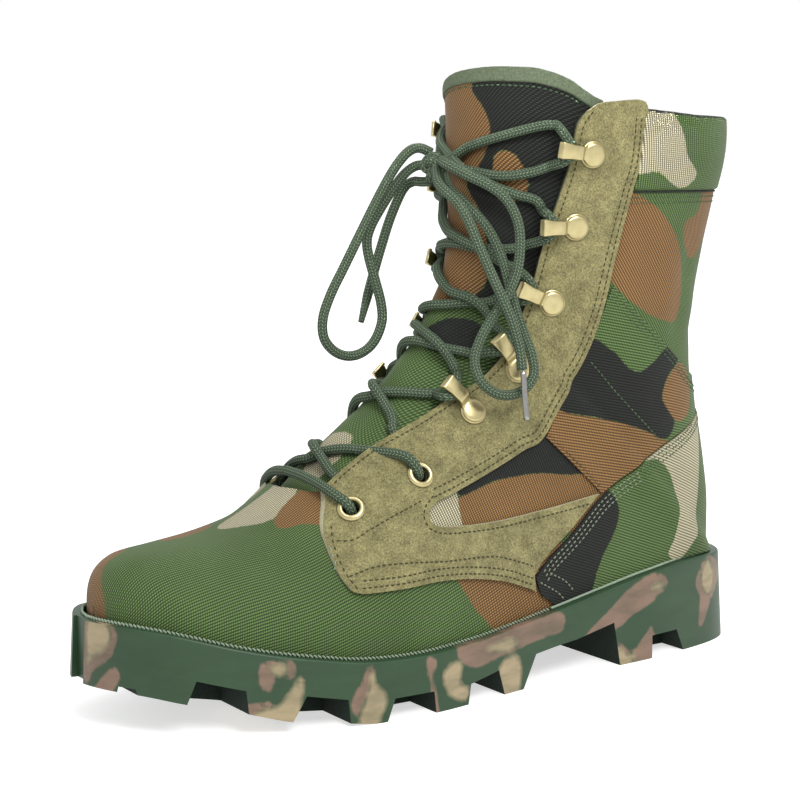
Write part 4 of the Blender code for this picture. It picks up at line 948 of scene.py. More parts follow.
SOLE_PATCHES = (
    ("pink", "outer", ((174, 42), (157, 41), (156, 34), (160, 28), (167, 24), (174, 17))),
    ("sand", "outer", ((172, 42), (161, 41), (159, 36), (163, 31), (169, 28), (172, 25))),
    ("pink", "outer", ((164, 21), (157, 26), (154, 22), (158, 16), (170, 12))),
    ("pink", "outer", ((101, 27), (90, 28), (89, 23), (92, 20), (95, 23), (98, 17), (102, 18))),
    ("sand", "outer", ((98, 26), (92, 27), (92, 23), (96, 22))),
    ("pink", "outer", ((109, 12), (98, 13), (95, 8), (109, 6))),
    ("sand", "outer", ((86, 20), (89, 19), (95, 12), (104, 9), (107, 5), (94, 2), (89, 5))),
    ("pink", "outer", ((60, 24), (64, 15), (68, 9), (66, 2), (61, 6), (57, 16))),
    ("sand", "outer", ((59, 20), (57, 15), (53, 10), (56, 2), (60, -1), (66, 1), (64, 6), (61, 12))),
    ("pink", "outer", ((35, 22), (30, 21), (31, 11), (30, -1), (34, -1), (34, 12))),
    ("sand", "outer", ((26, 16), (20, 18), (17, 16), (19, 9), (14, 7), (15, 2), (22, 4), (27, 10))),
    ("pink", "outer", ((20, 23), (4, 24), (-7, 25), (-24, 27), (-40, 27), (-40, 20), (-24, 18), (-8, 16),
        (12, 14))),
    ("sand", "outer", ((4, 20), (-8, 22), (-14, 20), (-8, 17))),
    ("sand", "outer", ((-3, 12), (-14, 14), (-13, -1), (-5, -1))),
    ("pink", "outer", ((-48, 13), (-62, 22), (-78, 32), (-94, 36), (-101, 31), (-95, 26), (-80, 20),
        (-66, 15))),
    ("sand", "outer", ((-90, 30), (-95, 32), (-98, 30), (-94, 28))),
    ("pink", "outer", ((-132, 38), (-141, 30), (-136, 23), (-130, 17), (-123, 8), (-121, 10), (-122, 22),
        (-119, 27), (-124, 35))),
    ("sand", "outer", ((-130, 36), (-134, 28), (-130, 21), (-126, 23), (-124, 29))),
    ("pink", "outer", ((-70, 10), (-77, 5), (-83, 9), (-90, 14), (-90, -1), (-71, -1))),
    ("sand", "outer", ((-70, 8), (-76, 3), (-80, 5), (-78, -1), (-71, -1))),
)
# The hidden inner side repeats the outer side's shapes, moved along so that the two don't mirror
INNER_SHIFT = (17.0, -6.0)
INNER_SOLE_SHIFT = (-26.0, 0.0)


def signed_distance(points, outline):
    """Distance of points to a closed outline, positive inside."""
    line = spline(outline, OUTLINE_STEP, closed=True)
    after = np.roll(line, -1, 0)
    best = np.full(len(points), FAR)
    inside = np.zeros(len(points), bool)
    for a, b in zip(line, after):
        run, offset = b - a, points - a
        share = np.clip(offset @ run / (run @ run), 0.0, 1.0)
        best = np.minimum(best, np.hypot(*(offset - share[:, None] * run).T))
        crosses = (a[1] > points[:, 1]) != (b[1] > points[:, 1])
        rise = run[1] if run[1] else 1.0
        inside ^= crosses & (points[:, 0] < a[0] + run[0] * (points[:, 1] - a[1]) / rise)
    return np.where(inside, best, -best)


def with_inner(shapes, shift):
    """The shapes, and those of the outer chart again on the inner one, moved by shift."""
    moved = [(ink, "inner", tuple((u + shift[0], z + shift[1]) for u, z in outline))
             for ink, chart, outline in shapes if chart == "outer"]
    return tuple(shapes) + tuple(moved)


def paint(mesh, fields, shapes):
    """Writes how far each vertex lies inside each colour, later shapes over earlier ones."""
    points = millimetres(vertices_of(mesh))
    side_chart = unroll(points)
    charts = {"outer": side_chart, "inner": side_chart, "top": points[:, :2], "front": points[:, 1:]}
    depth = {field: np.full(len(points), -FAR) for field in fields}
    for ink, chart, outline in shapes:
        inside = signed_distance(charts[chart], outline)
        if chart in ("outer", "inner"):
            inside = np.minimum(inside, points[:, 1] if chart == "outer" else -points[:, 1])
        for field in fields:
            grown, shrunk = np.maximum(depth[field], inside), np.minimum(depth[field], -inside)
            depth[field] = grown if field == ink else shrunk
    for field in fields:
        layer = mesh.attributes.get(field) or mesh.attributes.new(field, "FLOAT", "POINT")
        layer.data.foreach_set("value", depth[field].astype(np.float32))


PRINT = ("brown", "black", "tan")


def turned(chart, degrees):
    a = math.radians(degrees)
    return chart @ np.array(((math.cos(a), math.sin(a)), (-math.sin(a), math.cos(a))))


def keep(made, slot, *nodes):
    """Rides the piece on the boot, in the place of its solids."""
    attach(made, "root")
    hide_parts(*nodes)
    return made


# Soft troughs and ridges of the worn cloth: start, end, half width, depth, positive out
CREASES = (
    ((96, 40, 44), (78, 20, 71), 6, -0.9),
    ((84, 46, 44), (70, 26, 70), 5, 0.5),
    ((100, -44, 44), (78, -26, 70), 6, -0.9),
    ((124, 22, 56), (112, 34, 48), 12, -0.7),
    ((-86, 38, 190), (-96, 36, 150), 6, -0.6),
    ((-118, 30, 176), (-112, 31, 140), 7, -0.9),
    ((-126, -26, 170), (-108, -34, 132), 8, -1),
    ((-139, 0, 150), (-128, 22, 134), 7, -0.9),
    ((-60, 36, 118), (-96, 33, 110), 6, -0.5),
    ((36, 18, 103), (24, -16, 116), 3.5, -1),
    ((26, 20, 113), (10, -16, 130), 3.5, -0.9),
    ((16, 24, 124), (2, -12, 141), 3.5, -0.8),
)


def crease_lift(points):
    """How far the creases push each point in or out."""
    lift = np.zeros(len(points))
    for start, end, width, depth in CREASES:
        start, run = np.array(start), np.subtract(end, start)
        share = np.clip((points - start) @ run / (run @ run), 0.0, 1.0)
        away = np.linalg.norm(points - start - share[:, None] * run, axis=1)
        lift += depth * np.exp(-(away / width) ** 2)
    return lift


def skin_grid(stations, shares, lift):
    """Rows of points over the upper, creased, each station with its own columns."""
    rows = []
    for t in stations:
        flat = skin(t, shares(t))
        rows.append(skin(t, shares(t), lift + crease_lift(flat)))
    return np.array(rows)


def ridge_chart(stations, side, shares):
    """Chart of a side's grid: run along the ridge and arc from it, in millimetres."""
    ridge = np.array([ring(t, np.zeros(1))[0] for t in stations])
    arcs = np.array([shares(t) * girth(t, side) for t in stations])
    return np.stack(np.broadcast_arrays(running(ridge)[:, None], arcs), 2)


def side_shares(side, count, under=0.0):
    """Columns of one side from the throat's edge to the base, reaching under past the edge."""

    def shares(t):
        start = (throat_opening(t, side) - under) / girth(t, side) if t > THROAT[0][0] else 0.0
        return side * np.linspace(max(start, 0.0), 1.0, count)

    return shares


def side_mesh(name, stations, count, lift, threads=None, push=None):
    """Each side's skin as a sheet that faces out: push moves its points, threads turns its chart."""
    meshes = []
    for side in (1, -1):
        shares = side_shares(side, count)
        points = skin_grid(stations, shares, lift)
        chart = ridge_chart(stations, side, shares)
        if push:
            points = push(points)
        mesh = grid_mesh(name, points, threads(points, chart) if threads else chart)
        if side < 0:
            mesh.flip_normals()
        meshes.append(mesh)
    return meshes


def side_weave(made, degrees):
    """Lays the threads of a piece along the side chart, turned by degrees."""
    write_uv(made.data, turned(unroll(millimetres(vertices_of(made.data))), degrees))


def eyelet_cutters(sides):
    """Cylinders through eyestay and upper for the punched eyelets."""
    cutters = []
    for side in sides:
        for t, arc, _ in lacing_points(side)[:EYELET_ROWS]:
            bm = bmesh.new()
            bmesh.ops.create_cone(bm, cap_ends=True, segments=HOLE_SIDES, radius1=EYELET_HOLE * MM,
                                  radius2=EYELET_HOLE * MM, depth=HOLE_DEPTH * MM,
                                  matrix=frame_at(t, arc, 0.0, 0.0))
            cutters.append(add_object("hole", to_mesh(bm, "hole")))
    return cutters


UPPER_STATIONS = 230
UPPER_COLUMNS = 84
THROAT_CORNER_ROWS = 4
EYESTAY_TOP_ROWS = slice(1, 8)
EYESTAY_STANDS = 1.6
CUFF_HIDES_ABOVE = 206.0
CUFF_FRONT = -84.0
VAMP_BELOW = 58.0
VAMP_AHEAD = 58.0
QUARTER_ABOVE = 112.0

# Turn of each panel's threads in its chart, in degrees
VAMP_WEAVE = 84.0
QUARTER_WEAVE = 35.0
WINDOW_WEAVE = 18.0
COUNTER_WEAVE = 70.0
BAND_WEAVE = 78.0
CUFF_WEAVE = 4.0
TONGUE_WEAVE = 40.0


def upper_threads(points, along_ridge):
    """Thread directions of the upper's panels: vamp along the ridge, window upright, quarter slanted."""
    flat = points.reshape(-1, 3)
    side_chart = unroll(flat)
    on_quarter = (flat[:, 2] > QUARTER_ABOVE)[:, None]
    panel = np.where(on_quarter, turned(side_chart, QUARTER_WEAVE), turned(side_chart, WINDOW_WEAVE))
    on_vamp = ((flat[:, 2] < VAMP_BELOW) | (flat[:, 0] > VAMP_AHEAD))[:, None]
    return np.where(on_vamp, turned(along_ridge.reshape(-1, 2), VAMP_WEAVE), panel).reshape(along_ridge.shape)


def make_upper():
    """The cloth upper: vamp, quarters and shaft in one wall, lined inside."""
    even = np.linspace(sections.at[0], COLLAR_AT, UPPER_STATIONS)
    stations = np.unique(np.concatenate([even, [row[0] for row in THROAT[:THROAT_CORNER_ROWS]]]))
    sheets = side_mesh("upper_cloth", stations, UPPER_COLUMNS, 0.0, upper_threads)
    made = add_object("upper_cloth", welded("upper_cloth", sheets), "oxford_nylon", "brushed_lining")
    bm = bmesh.new()
    bm.from_mesh(made.data)
    front = max(vert.co.x for vert in bm.verts)
    nose = [vert for vert in bm.verts if vert.co.x > front - WELD]
    cap = bmesh.ops.contextual_create(bm, geom=nose)["faces"]
    bm.normal_update()
    if cap[0].normal.x < 0:
        bmesh.ops.reverse_faces(bm, faces=cap)
    top_x, top_z = zip(*sorted(EYESTAY_OUTLINE[EYESTAY_TOP_ROWS]))
    hidden = []
    for face in bm.faces:
        x, _, z = millimetres(face.calc_center_median())
        behind_cuff = z > CUFF_HIDES_ABOVE and x < CUFF_FRONT
        if behind_cuff or z > np.interp(x, top_x, top_z) - EYESTAY_STANDS:
            hidden.append(face)
    bmesh.ops.delete(bm, geom=hidden, context="FACES")
    bm.to_mesh(made.data)
    bm.free()
    solidify(made, WALL, -1.0, inner=1)
    cut(made, eyelet_cutters((1, -1)), "DIFFERENCE")
    paint(made.data, PRINT, with_inner(UPPER_PRINT, INNER_SHIFT))
    smooth(made, SHARP_CLOTH)
    keep(made, "printed_nylon", "upper")


# Stretch of the upper that an overlay is lifted off: first place, last place, stations
EYESTAY_SPAN = (17.0, EYESTAY_TOP_AT, 194)
BEHIND_SPAN = (36.0, 84.0, 130)


def make_overlay(name, solid, cloth, slot, sides, outline, thick, span, edge):
    """A slab lifted off the upper's own surface and kept where the outline falls."""
    meshes = side_mesh(name, np.linspace(*span), UPPER_COLUMNS, GAP)
    if len(sides) == 1:
        spare = meshes.pop(1 if sides[0] > 0 else 0)
        bpy.data.meshes.remove(spare)
    made = add_object(name, welded(name, meshes), cloth)
    solidify(made, thick, 1.0)
    near = RIDGE_LINE if -1 not in sides else -HALF_SPAN
    far = RIDGE_LINE if 1 not in sides else HALF_SPAN
    cut(made, [prism(rounded_outline(outline, OVERLAY_STEP), near, far, edge)], "INTERSECT")
    smooth(made, SHARP_CLOTH)
    return keep(made, slot, solid)


def make_overlays():
    for name, side in SIDES:
        made = make_overlay(f"eyestay_{name}_suede", f"eyestay_{name}", "napped_suede", "suede", (side,),
                            EYESTAY_OUTLINE, EYESTAY_THICK, EYESTAY_SPAN, "suede_edge")
        cut(made, eyelet_cutters((side,)), "DIFFERENCE")
        smooth(made, SHARP_CLOTH)
    for name, outline, thick, shapes, turn in (
        ("heel_counter", COUNTER_OUTLINE, COUNTER_THICK, COUNTER_PRINT, COUNTER_WEAVE),
        ("ankle_band", BAND_OUTLINE, BAND_THICK, BAND_PRINT, BAND_WEAVE),
    ):
        made = make_overlay(f"{name}_cloth", name, "oxford_nylon", "printed_nylon", (1, -1), outline, thick,
                            BEHIND_SPAN, "oxford_nylon")
        paint(made.data, PRINT, with_inner(shapes, INNER_SHIFT))
        side_weave(made, turn)


SOFTEN = 0.5
CUFF_SPAN = (77.0, 97.4, 50)
CUFF_COLUMNS = 70
CUFF_VOXEL = 0.9
CUFF_ROUNDS = 10
CUFF_LINING_SHOWS = 1.1


def round_off(made, voxel, rounds, *finishes):
    """Rounds a padded piece's edges: an even remesh, then a light smoothing."""
    remesh = made.modifiers.new("even", "REMESH")
    remesh.mode = "VOXEL"
    remesh.voxel_size = voxel * MM
    soften = made.modifiers.new("soft", "SMOOTH")
    soften.factor = SOFTEN
    soften.iterations = rounds
    bake(made)
    made.data.shade_smooth()
    dress(made, *finishes)


def cuff_bulge(points):
    """The cuff's points pushed out round its middle, most at half its height."""
    low, high = CUFF_OUTLINE[0][1], CUFF_OUTLINE[-1][1]
    rise = np.clip((points[..., 2] - low) / (high - low), 0.0, 1.0)
    outward = unit(points - np.stack(np.broadcast_arrays(CUFF_MIDDLE_X, 0.0, points[..., 2]), -1))
    return points + outward * (CUFF_BULGE * np.sin(math.pi * rise))[..., None]


def make_cuff():
    """The padded collar: a thick band that stands on the quarter's top edge behind the eyestays."""
    sheets = side_mesh("cuff", np.linspace(*CUFF_SPAN), CUFF_COLUMNS, CUFF_OUT, push=cuff_bulge)
    made = add_object("collar_cuff_pad", welded("collar_cuff_pad", sheets))
    solidify(made, CUFF_THICK, -1.0)
    cut(made, [prism(CUFF_OUTLINE, -HALF_SPAN, HALF_SPAN)], "INTERSECT")
    round_off(made, CUFF_VOXEL, CUFF_ROUNDS, "oxford_nylon", "brushed_lining")
    top_x, top_z = zip(*sorted(CUFF_OUTLINE[2:]))
    for face in made.data.polygons:
        x, y, z = millimetres(face.center)
        faces_in = face.normal.x * (x - CUFF_MIDDLE_X) + face.normal.y * y < 0
        face.material_index = int(faces_in or z > np.interp(x, top_x, top_z) - CUFF_LINING_SHOWS)
    paint(made.data, PRINT, with_inner(CUFF_PRINT[:1], INNER_SHIFT) + CUFF_PRINT[1:])
    side_weave(made, CUFF_WEAVE)
    keep(made, "printed_nylon", "collar_cuff")


TONGUE_EDGE = 1.2
TONGUE_COLUMNS = 61
TONGUE_ROWS = 120
TAPE_ROWS = 8
TAPE_VOXEL = 0.5
TAPE_ROUNDS = 8
THROAT_FIRST = THROAT[3][0]
THROAT_TOP = THROAT[-3][0]


def tongue_arc(t, share):
    """Arc of a tongue column: shares up to 1 span the throat, beyond it the tongue runs under the eyestay."""
    side = 1 if share >= 0 else -1
    opening = float(throat_curve(min(max(t, THROAT_FIRST), THROAT_TOP))[0 if side > 0 else 1])
    if abs(share) <= 1:
        return share * opening
    return side * (opening + (abs(share) - 1) / (TONGUE_EDGE - 1) * TONGUE_UNDERLAP)


def tongue_dip(t):
    """How much deeper the tongue's foot lies under the vamp."""
    return TONGUE_DIP * max(0.0, (TONGUE_LEVEL_AT - t) / (TONGUE_LEVEL_AT - TONGUE_FOOT_AT))


def tongue_top(arc):
    return float(tongue_top_curve(np.clip(arc, TONGUE_TOP[0][0], TONGUE_TOP[-1][0]))[0])


def tongue_object(name, rows_of, lift, *finishes):
    """A sheet over the tongue: a column runs along the places that rows_of gives for its arc at the top."""
    lines = []
    for share in np.linspace(-TONGUE_EDGE, TONGUE_EDGE, TONGUE_COLUMNS):
        stations = rows_of(tongue_arc(THROAT_TOP, share))
        rows = [(t, tongue_arc(t, share), lift - tongue_dip(t)) for t in stations]
        creased = crease_lift(np.array([place(*row) for row in rows]))
        lines.append([place(t, arc, up + more) for (t, arc, up), more in zip(rows, creased)])
    return add_object(name, grid_mesh(name, np.array(lines).swapaxes(0, 1)), *finishes)


def make_tongue():
    def body(arc):
        return np.linspace(TONGUE_FOOT_AT, tongue_top(arc) - BINDING_TALL, TONGUE_ROWS)

    def tape(arc):
        return np.linspace(tongue_top(arc) - BINDING_TALL, tongue_top(arc), TAPE_ROWS)

    made = tongue_object("tongue_pad", body, TONGUE_LIFT, "oxford_nylon", "brushed_lining")
    solidify(made, TONGUE_THICK, -1.0, inner=1)
    bake(made)
    paint(made.data, PRINT, TONGUE_PRINT)
    write_uv(made.data, turned(millimetres(vertices_of(made.data))[:, 1:], TONGUE_WEAVE))
    smooth(made, SHARP_CLOTH)
    keep(made, "printed_nylon", "tongue")
    made = tongue_object("tongue_tape", tape, TONGUE_LIFT + BINDING_EXTRA)
    solidify(made, TONGUE_THICK + 2 * BINDING_EXTRA, -1.0)
    round_off(made, TAPE_VOXEL, TAPE_ROUNDS, "woven_tape")
    keep(made, "binding_tape", "tongue_binding")


WALL_ROWS = 14
EASE_STEPS = 5
SOLE_STATIONS = 190
SOLE_END_SHARE = 0.03
CHANNEL_STEPS = 30


def make_outsole():
    wall, foot, bed = Plan(0.0), Plan(-SOLE_FLARE), Plan(BED_INSET)

    def block(x):
        share = (x - wall.low) / (wall.high - wall.low)
        foot_x = foot.low + (foot.high - foot.low) * share
        out, inn = wall.edge(x)
        foot_out, foot_in = foot.edge(foot_x)
        top, low = rim(x) - RIM_EASE, ground(x)
        rise = np.linspace(0.0, 1.0, WALL_ROWS)[:, None]
        outer = np.array((foot_x, foot_out, low)) * (1 - rise) + np.array((x, out, top)) * rise
        inner = np.array((x, inn, top)) * (1 - rise) + np.array((foot_x, foot_in, low)) * rise
        turn = np.linspace(0.0, math.pi / 2, EASE_STEPS)[1:]
        step = RIM_EASE * min(1.0, (out - inn) / (4 * RIM_EASE))
        eased = [(step * (1 - math.cos(a)), top + RIM_EASE * math.sin(a)) for a in turn]
        over = [(x, out - inset, z) for inset, z in eased] + [(x, inn + inset, z) for inset, z in eased[::-1]]
        return [tuple(p) for p in outer] + over + [tuple(p) for p in inner]

    def bed_block(x):
        out, inn = bed.edge(x)
        low, high = rim(x) - BED_DEPTH, rim(x) + CUT_ABOVE
        return (x, out, low), (x, out, high), (x, inn, high), (x, inn, low)

    made = loft("outsole_rubber", wall.stations(SOLE_STATIONS, SOLE_END_SHARE), block, "moulded_rubber")
    # The hollows, notches and channels give their faces the darker tread rubber, painted shade in the
    # recesses
    cutters = [
        loft("bed", bed.stations(SOLE_STATIONS, SOLE_END_SHARE), bed_block, "moulded_rubber"),
        prism(WAIST_FRONT, -HALF_SPAN, HALF_SPAN, "shaded_tread_rubber"),
        prism(WAIST_REAR, -HALF_SPAN, HALF_SPAN, "shaded_tread_rubber"),
        prism(TOE_FACE, *TOE_FACE_SPAN, "moulded_rubber"),
    ]
    for front, rear, roof_front, roof_rear, rise, reach in NOTCHES:
        outline = (
            (front, ground(front) - CUT_BELOW),
            (front, ground(front) - CUT_STEP),
            (roof_front, ground(front) + rise),
            (roof_rear, ground(rear) + rise),
            (rear, ground(rear) - CUT_STEP),
            (rear, ground(rear) - CUT_BELOW),
        )
        out, inn = wall.edge((front + rear) / 2)
        cutters.append(prism(outline, out - reach, out + CUT_PAST, "shaded_tread_rubber"))
        cutters.append(prism(outline, inn - CUT_PAST, inn + reach, "shaded_tread_rubber"))
    for rear, front, half, rise in CHANNELS:
        outline = [(x, ground(x) + rise) for x in np.linspace(front, rear, CHANNEL_STEPS)]
        outline += [(rear, -CUT_BELOW), (front, -CUT_BELOW)]
        cutters.append(prism(outline, -half, half, "shaded_tread_rubber"))
    cut(made, cutters, "DIFFERENCE")
    paint(made.data, ("pink", "sand"), with_inner(SOLE_PATCHES, INNER_SOLE_SHIFT))
    smooth(made, SHARP_RUBBER)
    keep(made, "sole_rubber", "outsole")


def make_insole():
    dress(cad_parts["insole"], "brushed_lining")


# Lace

TONGUE_CLEAR = 0.1
EYESTAY_CLEAR = 0.2
ON_TONGUE = TONGUE_LIFT + LACE_DRAWN + TONGUE_CLEAR
UNDER_EYESTAY = -2.7
OVER_EYESTAY = GAP + EYESTAY_THICK + LACE_DRAWN + EYESTAY_CLEAR
LACE_READ = 2.4
LACE_STEP = 1.4
# Lace over the tongue from one eyelet or hook to the next, as places and arcs: the half that starts in the
# outer first eyelet, then the half that starts in the inner one
ROUTE_OUTER = (
    ((28, 23.5), (28.5, 14), (31.1, -11), (33, -20)),
    ((38.8, -21), (39.6, 0), (41.4, 8), (44.5, 20), (46.4, 26)),
    ((51, 27.5), (51.8, 23.5), (52.8, 14.5), (53.9, 2.5), (55.8, -14), (56.8, -21)),
    ((59.8, -22), (57.6, -8), (58.2, 5.5), (60.3, 17.7), (62, 28.5), (63.6, 34)),
    ((67.6, 34.5), (67, 29), (67.1, 19), (66.9, 10), (68, -2), (72.5, -16), (77, -27)),
    ((82.2, -24), (80.6, -8), (79.9, 3), (79.8, 14), (80.6, 25.4), (83, 38.4), (84.8, 46)),
    ((90.4, 48.5), (90.2, 44), (88.9, 35.1), (86.3, 20.9), (83.8, 8)),
)
ROUTE_INNER = (
    ((27.2, -23.5), (27.6, -14), (28.2, 1), (29.6, 6), (31.8, 17.2), (32.6, 21.5)),
    ((37.8, 25), (39.2, 19.7), (40.6, 8.2), (43.4, -10), (45.6, -20)),
    ((50.6, -21), (51.2, -8), (51.7, 2), (53, 15.8), (54.4, 24), (55.2, 29)),
    ((60, 32), (60.5, 27.7), (60.5, 17.3), (60.4, 6.5), (62.8, -12), (65.4, -23)),
    ((67.6, -24), (65.6, -8), (65.5, 0), (65.8, 7.5), (66.7, 16.5), (69.4, 29.3), (72, 37.5)),
    ((78.6, 45), (79.4, 42), (79.3, 37.8), (78.8, 31.9), (78.8, 19), (81.5, 2), (86, -20), (88.2, -30)),
    ((89.4, -34), (87.4, -26), (85, -16)),
)
# At each crossing the half that lies on top
OUTER_ON_TOP = (True, False, True, False, True, False, True)
# The lace by its eyelets: step along the boot, arc from the ridge for the bar and short of the eyelet for
# the rest, lift; by a hook: run from the rivet to the throat, rise along the boot, height over the eyestay
BAR = ((-1.1, 0.0, 1.6), (-1.0, 12.0, 1.9), (-0.8, 24.0, 3.2))
TO_FIRST_EYELET = ((-0.5, 7.6, OVER_EYESTAY), (-0.1, 2.6, OVER_EYESTAY - 0.8))
TO_NEXT_EYELET = ((-0.7, 10.0, OVER_EYESTAY), (-0.2, 4.0, OVER_EYESTAY))
THROUGH_EYELET = ((0.0, 0.6, 1.0), (0.0, 0.0, -1.2), (0.5, 6.0, UNDER_EYESTAY))
ROUND_HOOK = ((13.0, -4.4, 2.4), (9.8, 0.0, 2.2), (13.0, 4.4, 2.4))


def by_eyelet(row, side, steps):
    """Places of the lace by an eyelet."""
    t, arc, _ = lacing_points(side)[row]
    return [place(t + along, arc - side * short, lift) for along, short, lift in steps]


def by_hook(row, side, steps):
    """Places of the lace by a hook."""
    t, arc, turn = lacing_points(side)[row]
    seat = frame_at(t, arc, GAP + EYESTAY_THICK, turn)
    up = Vector(place(t + 1.0, arc) - place(t, arc))
    sign = math.copysign(1.0, seat.to_3x3().col[1].dot(up))
    spots = [Vector((run * MM, sign * rise * MM, height * MM)) for run, rise, height in steps]
    return [millimetres(seat @ spot) for spot in spots]


def laid(places, below=None):
    """A run of lace over the tongue, raised where it passes over the points below."""
    read = spline(places, LACE_READ)
    flat = np.array([place(t, arc, ON_TONGUE) for t, arc in read])
    if below is None:
        return flat
    away = np.linalg.norm(flat[:, None] - below[None], axis=2).min(1)
    lift = ON_TONGUE + 2 * LACE_DRAWN * np.exp(-(away / (2 * LACE_DRAWN)) ** 2)
    return np.array([place(t, arc, up) for (t, arc), up in zip(read, lift)])


def lace_runs():
    """The runs of both halves, each crossing settled by which half lies on top."""
    outer, inner = [], []
    for out_places, in_places, outer_up in zip(ROUTE_OUTER, ROUTE_INNER, OUTER_ON_TOP):
        low = laid(in_places if outer_up else out_places)
        high = laid(out_places if outer_up else in_places, low)
        outer.append(high if outer_up else low)
        inner.append(low if outer_up else high)
    return outer, inner


def lacing_path(side, runs):
    """Half the lace: from the bar's middle through two eyelets and round five hooks to the knot."""
    first = lacing_points(side)[0][0]
    path = [place(first + along, side * arc, lift) for along, arc, lift in BAR]
    path += by_eyelet(0, side, TO_FIRST_EYELET)
    for row, run in enumerate(runs):
        if row < EYELET_ROWS:
            if row:
                path += by_eyelet(row, side, TO_NEXT_EYELET)
            path += by_eyelet(row, side, THROUGH_EYELET)
        else:
            path += by_hook(row, side, ROUND_HOOK)
        path += list(run)
        side = -side
    return spline(path + [KNOT_AT], LACE_STEP)


CORD_STEP = 1.6
LACE_SIDES = 14
WORN_LENGTH = 12.0
WORN_SHARE = 0.6
KNOT_STEPS = 90
KNOT_REACH = 2.9
KNOT_SWELL = 1.7
KNOT_AHEAD = 2.6
KNOT_DEPTH = 2.2


def lace_object(name, path, radius=LACE_DRAWN, material="braided_lace"):
    return add_object(name, tube_mesh(name, path, radius, LACE_SIDES), material)


def knot_path():
    """A trefoil turn of the lace round the middle of the bow."""
    x, y, z = KNOT_AT
    turn = np.linspace(0.0, 2 * math.pi, KNOT_STEPS)
    reach = KNOT_REACH + KNOT_SWELL * np.cos(3 * turn)
    ahead = x + KNOT_AHEAD + KNOT_DEPTH * np.sin(3 * turn)
    return np.stack([ahead, y + reach * np.cos(2 * turn), z + reach * np.sin(2 * turn)], 1)


def make_bow():
    knot = keep(lace_object("bow_knot_turns", knot_path()), "lace_braid", "bow_knot")
    tip = lace_object("lace_tip_steel", spline(TIP_OUTER, CORD_STEP), TIP_RADIUS, "crimped_steel")
    keep(tip, "tip_metal", "lace_tip_outer")
    for solid, points, far_end, pieces in (
        ("bow_loop_inner", LOOP_INNER, "object", [knot]),
        ("bow_loop_outer", LOOP_OUTER, "object", []),
        ("lace_end_inner", END_INNER, "bare", []),
        ("lace_end_outer", END_OUTER, "fitting", [tip]),
    ):
        path = spline(points, CORD_STEP)
        left = CORD_STEP * np.arange(len(path))[::-1]
        share = np.interp(left, (0.0, WORN_LENGTH), (WORN_SHARE, 1.0)) if far_end == "bare" else 1.0
        made = keep(lace_object(f"{solid}_cord", path, LACE_DRAWN * share), "lace_braid", solid)


def make_lacing():
    outer_runs, inner_runs = lace_runs()
    keep(lace_object("lace_half_outer", lacing_path(1, outer_runs)), "lace_braid", "lace_bar",
         *[f"lace_crossing_{row}" for row in range(1, len(LACING))])
    # The solids of the lace are all replaced by its outer half, so the inner half only rides along
    inner = lace_object("lace_half_inner", lacing_path(-1, inner_runs))
    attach(inner, "root")


# Hooks and eyelets: turned profiles as radius and height, and the strap's side view as run and height
RIVET_PROFILE = (
    (0, 1.9), (3.2, 1.85), (4.2, 1.7), (4.7, 1.35), (4.9, 0.95), (5, 0.65), (5.3, 0.55), (5.5, 0.3),
    (5.5, 0),
)
EYELET_PROFILE = (
    (3.2, -1.6), (3.15, 0.3), (3.4, 0.85), (3.9, 1.15), (4.6, 1.1), (5.2, 0.75), (5.55, 0.2), (5.6, 0),
)
STRAP_SIDE = (
    (0, 0.3), (5.4, 0.3), (7, 3.3), (8.4, 4), (11.5, 4.4), (15, 4.7), (16.2, 3.5), (17.4, 4.2),
    (15.9, 6.3), (11.5, 5.9), (7.8, 5.4), (6.2, 4.6), (4.4, 1.7), (0, 1.7),
)
# Half width of the strap along its run
STRAP_HALF = ((0.0, 2.8), (8.0, 2.8), (11.5, 2.9), (14.0, 3.3), (16.0, 3.5), (17.4, 3.3))
ROUND_STEPS = 40
STRAP_EASE = 0.45
EASE_SEGMENTS = 3


def turned_mesh(bm, profile):
    verts = [bm.verts.new((r * MM, 0.0, z * MM)) for r, z in profile]
    edges = [bm.edges.new(pair) for pair in zip(verts, verts[1:])]
    bmesh.ops.spin(bm, geom=verts + edges, cent=(0.0, 0.0, 0.0), axis=(0.0, 0.0, 1.0), angle=2 * math.pi,
                   steps=ROUND_STEPS, use_merge=True)
    bmesh.ops.remove_doubles(bm, verts=bm.verts, dist=WELD)


def strap_mesh(bm):
    """The hook's bent strap, its side view drawn out to the strap's width and its edges eased."""
    halves = np.interp([x for x, _ in STRAP_SIDE], *np.transpose(STRAP_HALF))
    verts = [bm.verts.new((x * MM, -half * MM, z * MM)) for (x, z), half in zip(STRAP_SIDE, halves)]
    face = bm.faces.new(verts)
    grown = bmesh.ops.extrude_face_region(bm, geom=[face])["geom"]
    moved = [item for item in grown if isinstance(item, bmesh.types.BMVert)]
    for vert in moved:
        vert.co.y = -vert.co.y
    strap = set(verts) | set(moved)
    bmesh.ops.recalc_face_normals(bm, faces=list({f for v in strap for f in v.link_faces}))
    edges = list({e for v in strap for e in v.link_edges})
    bmesh.ops.bevel(bm, geom=edges, offset=STRAP_EASE * MM, offset_type="OFFSET", segments=EASE_SEGMENTS,
                    profile=0.5, affect="EDGES", material=-1)


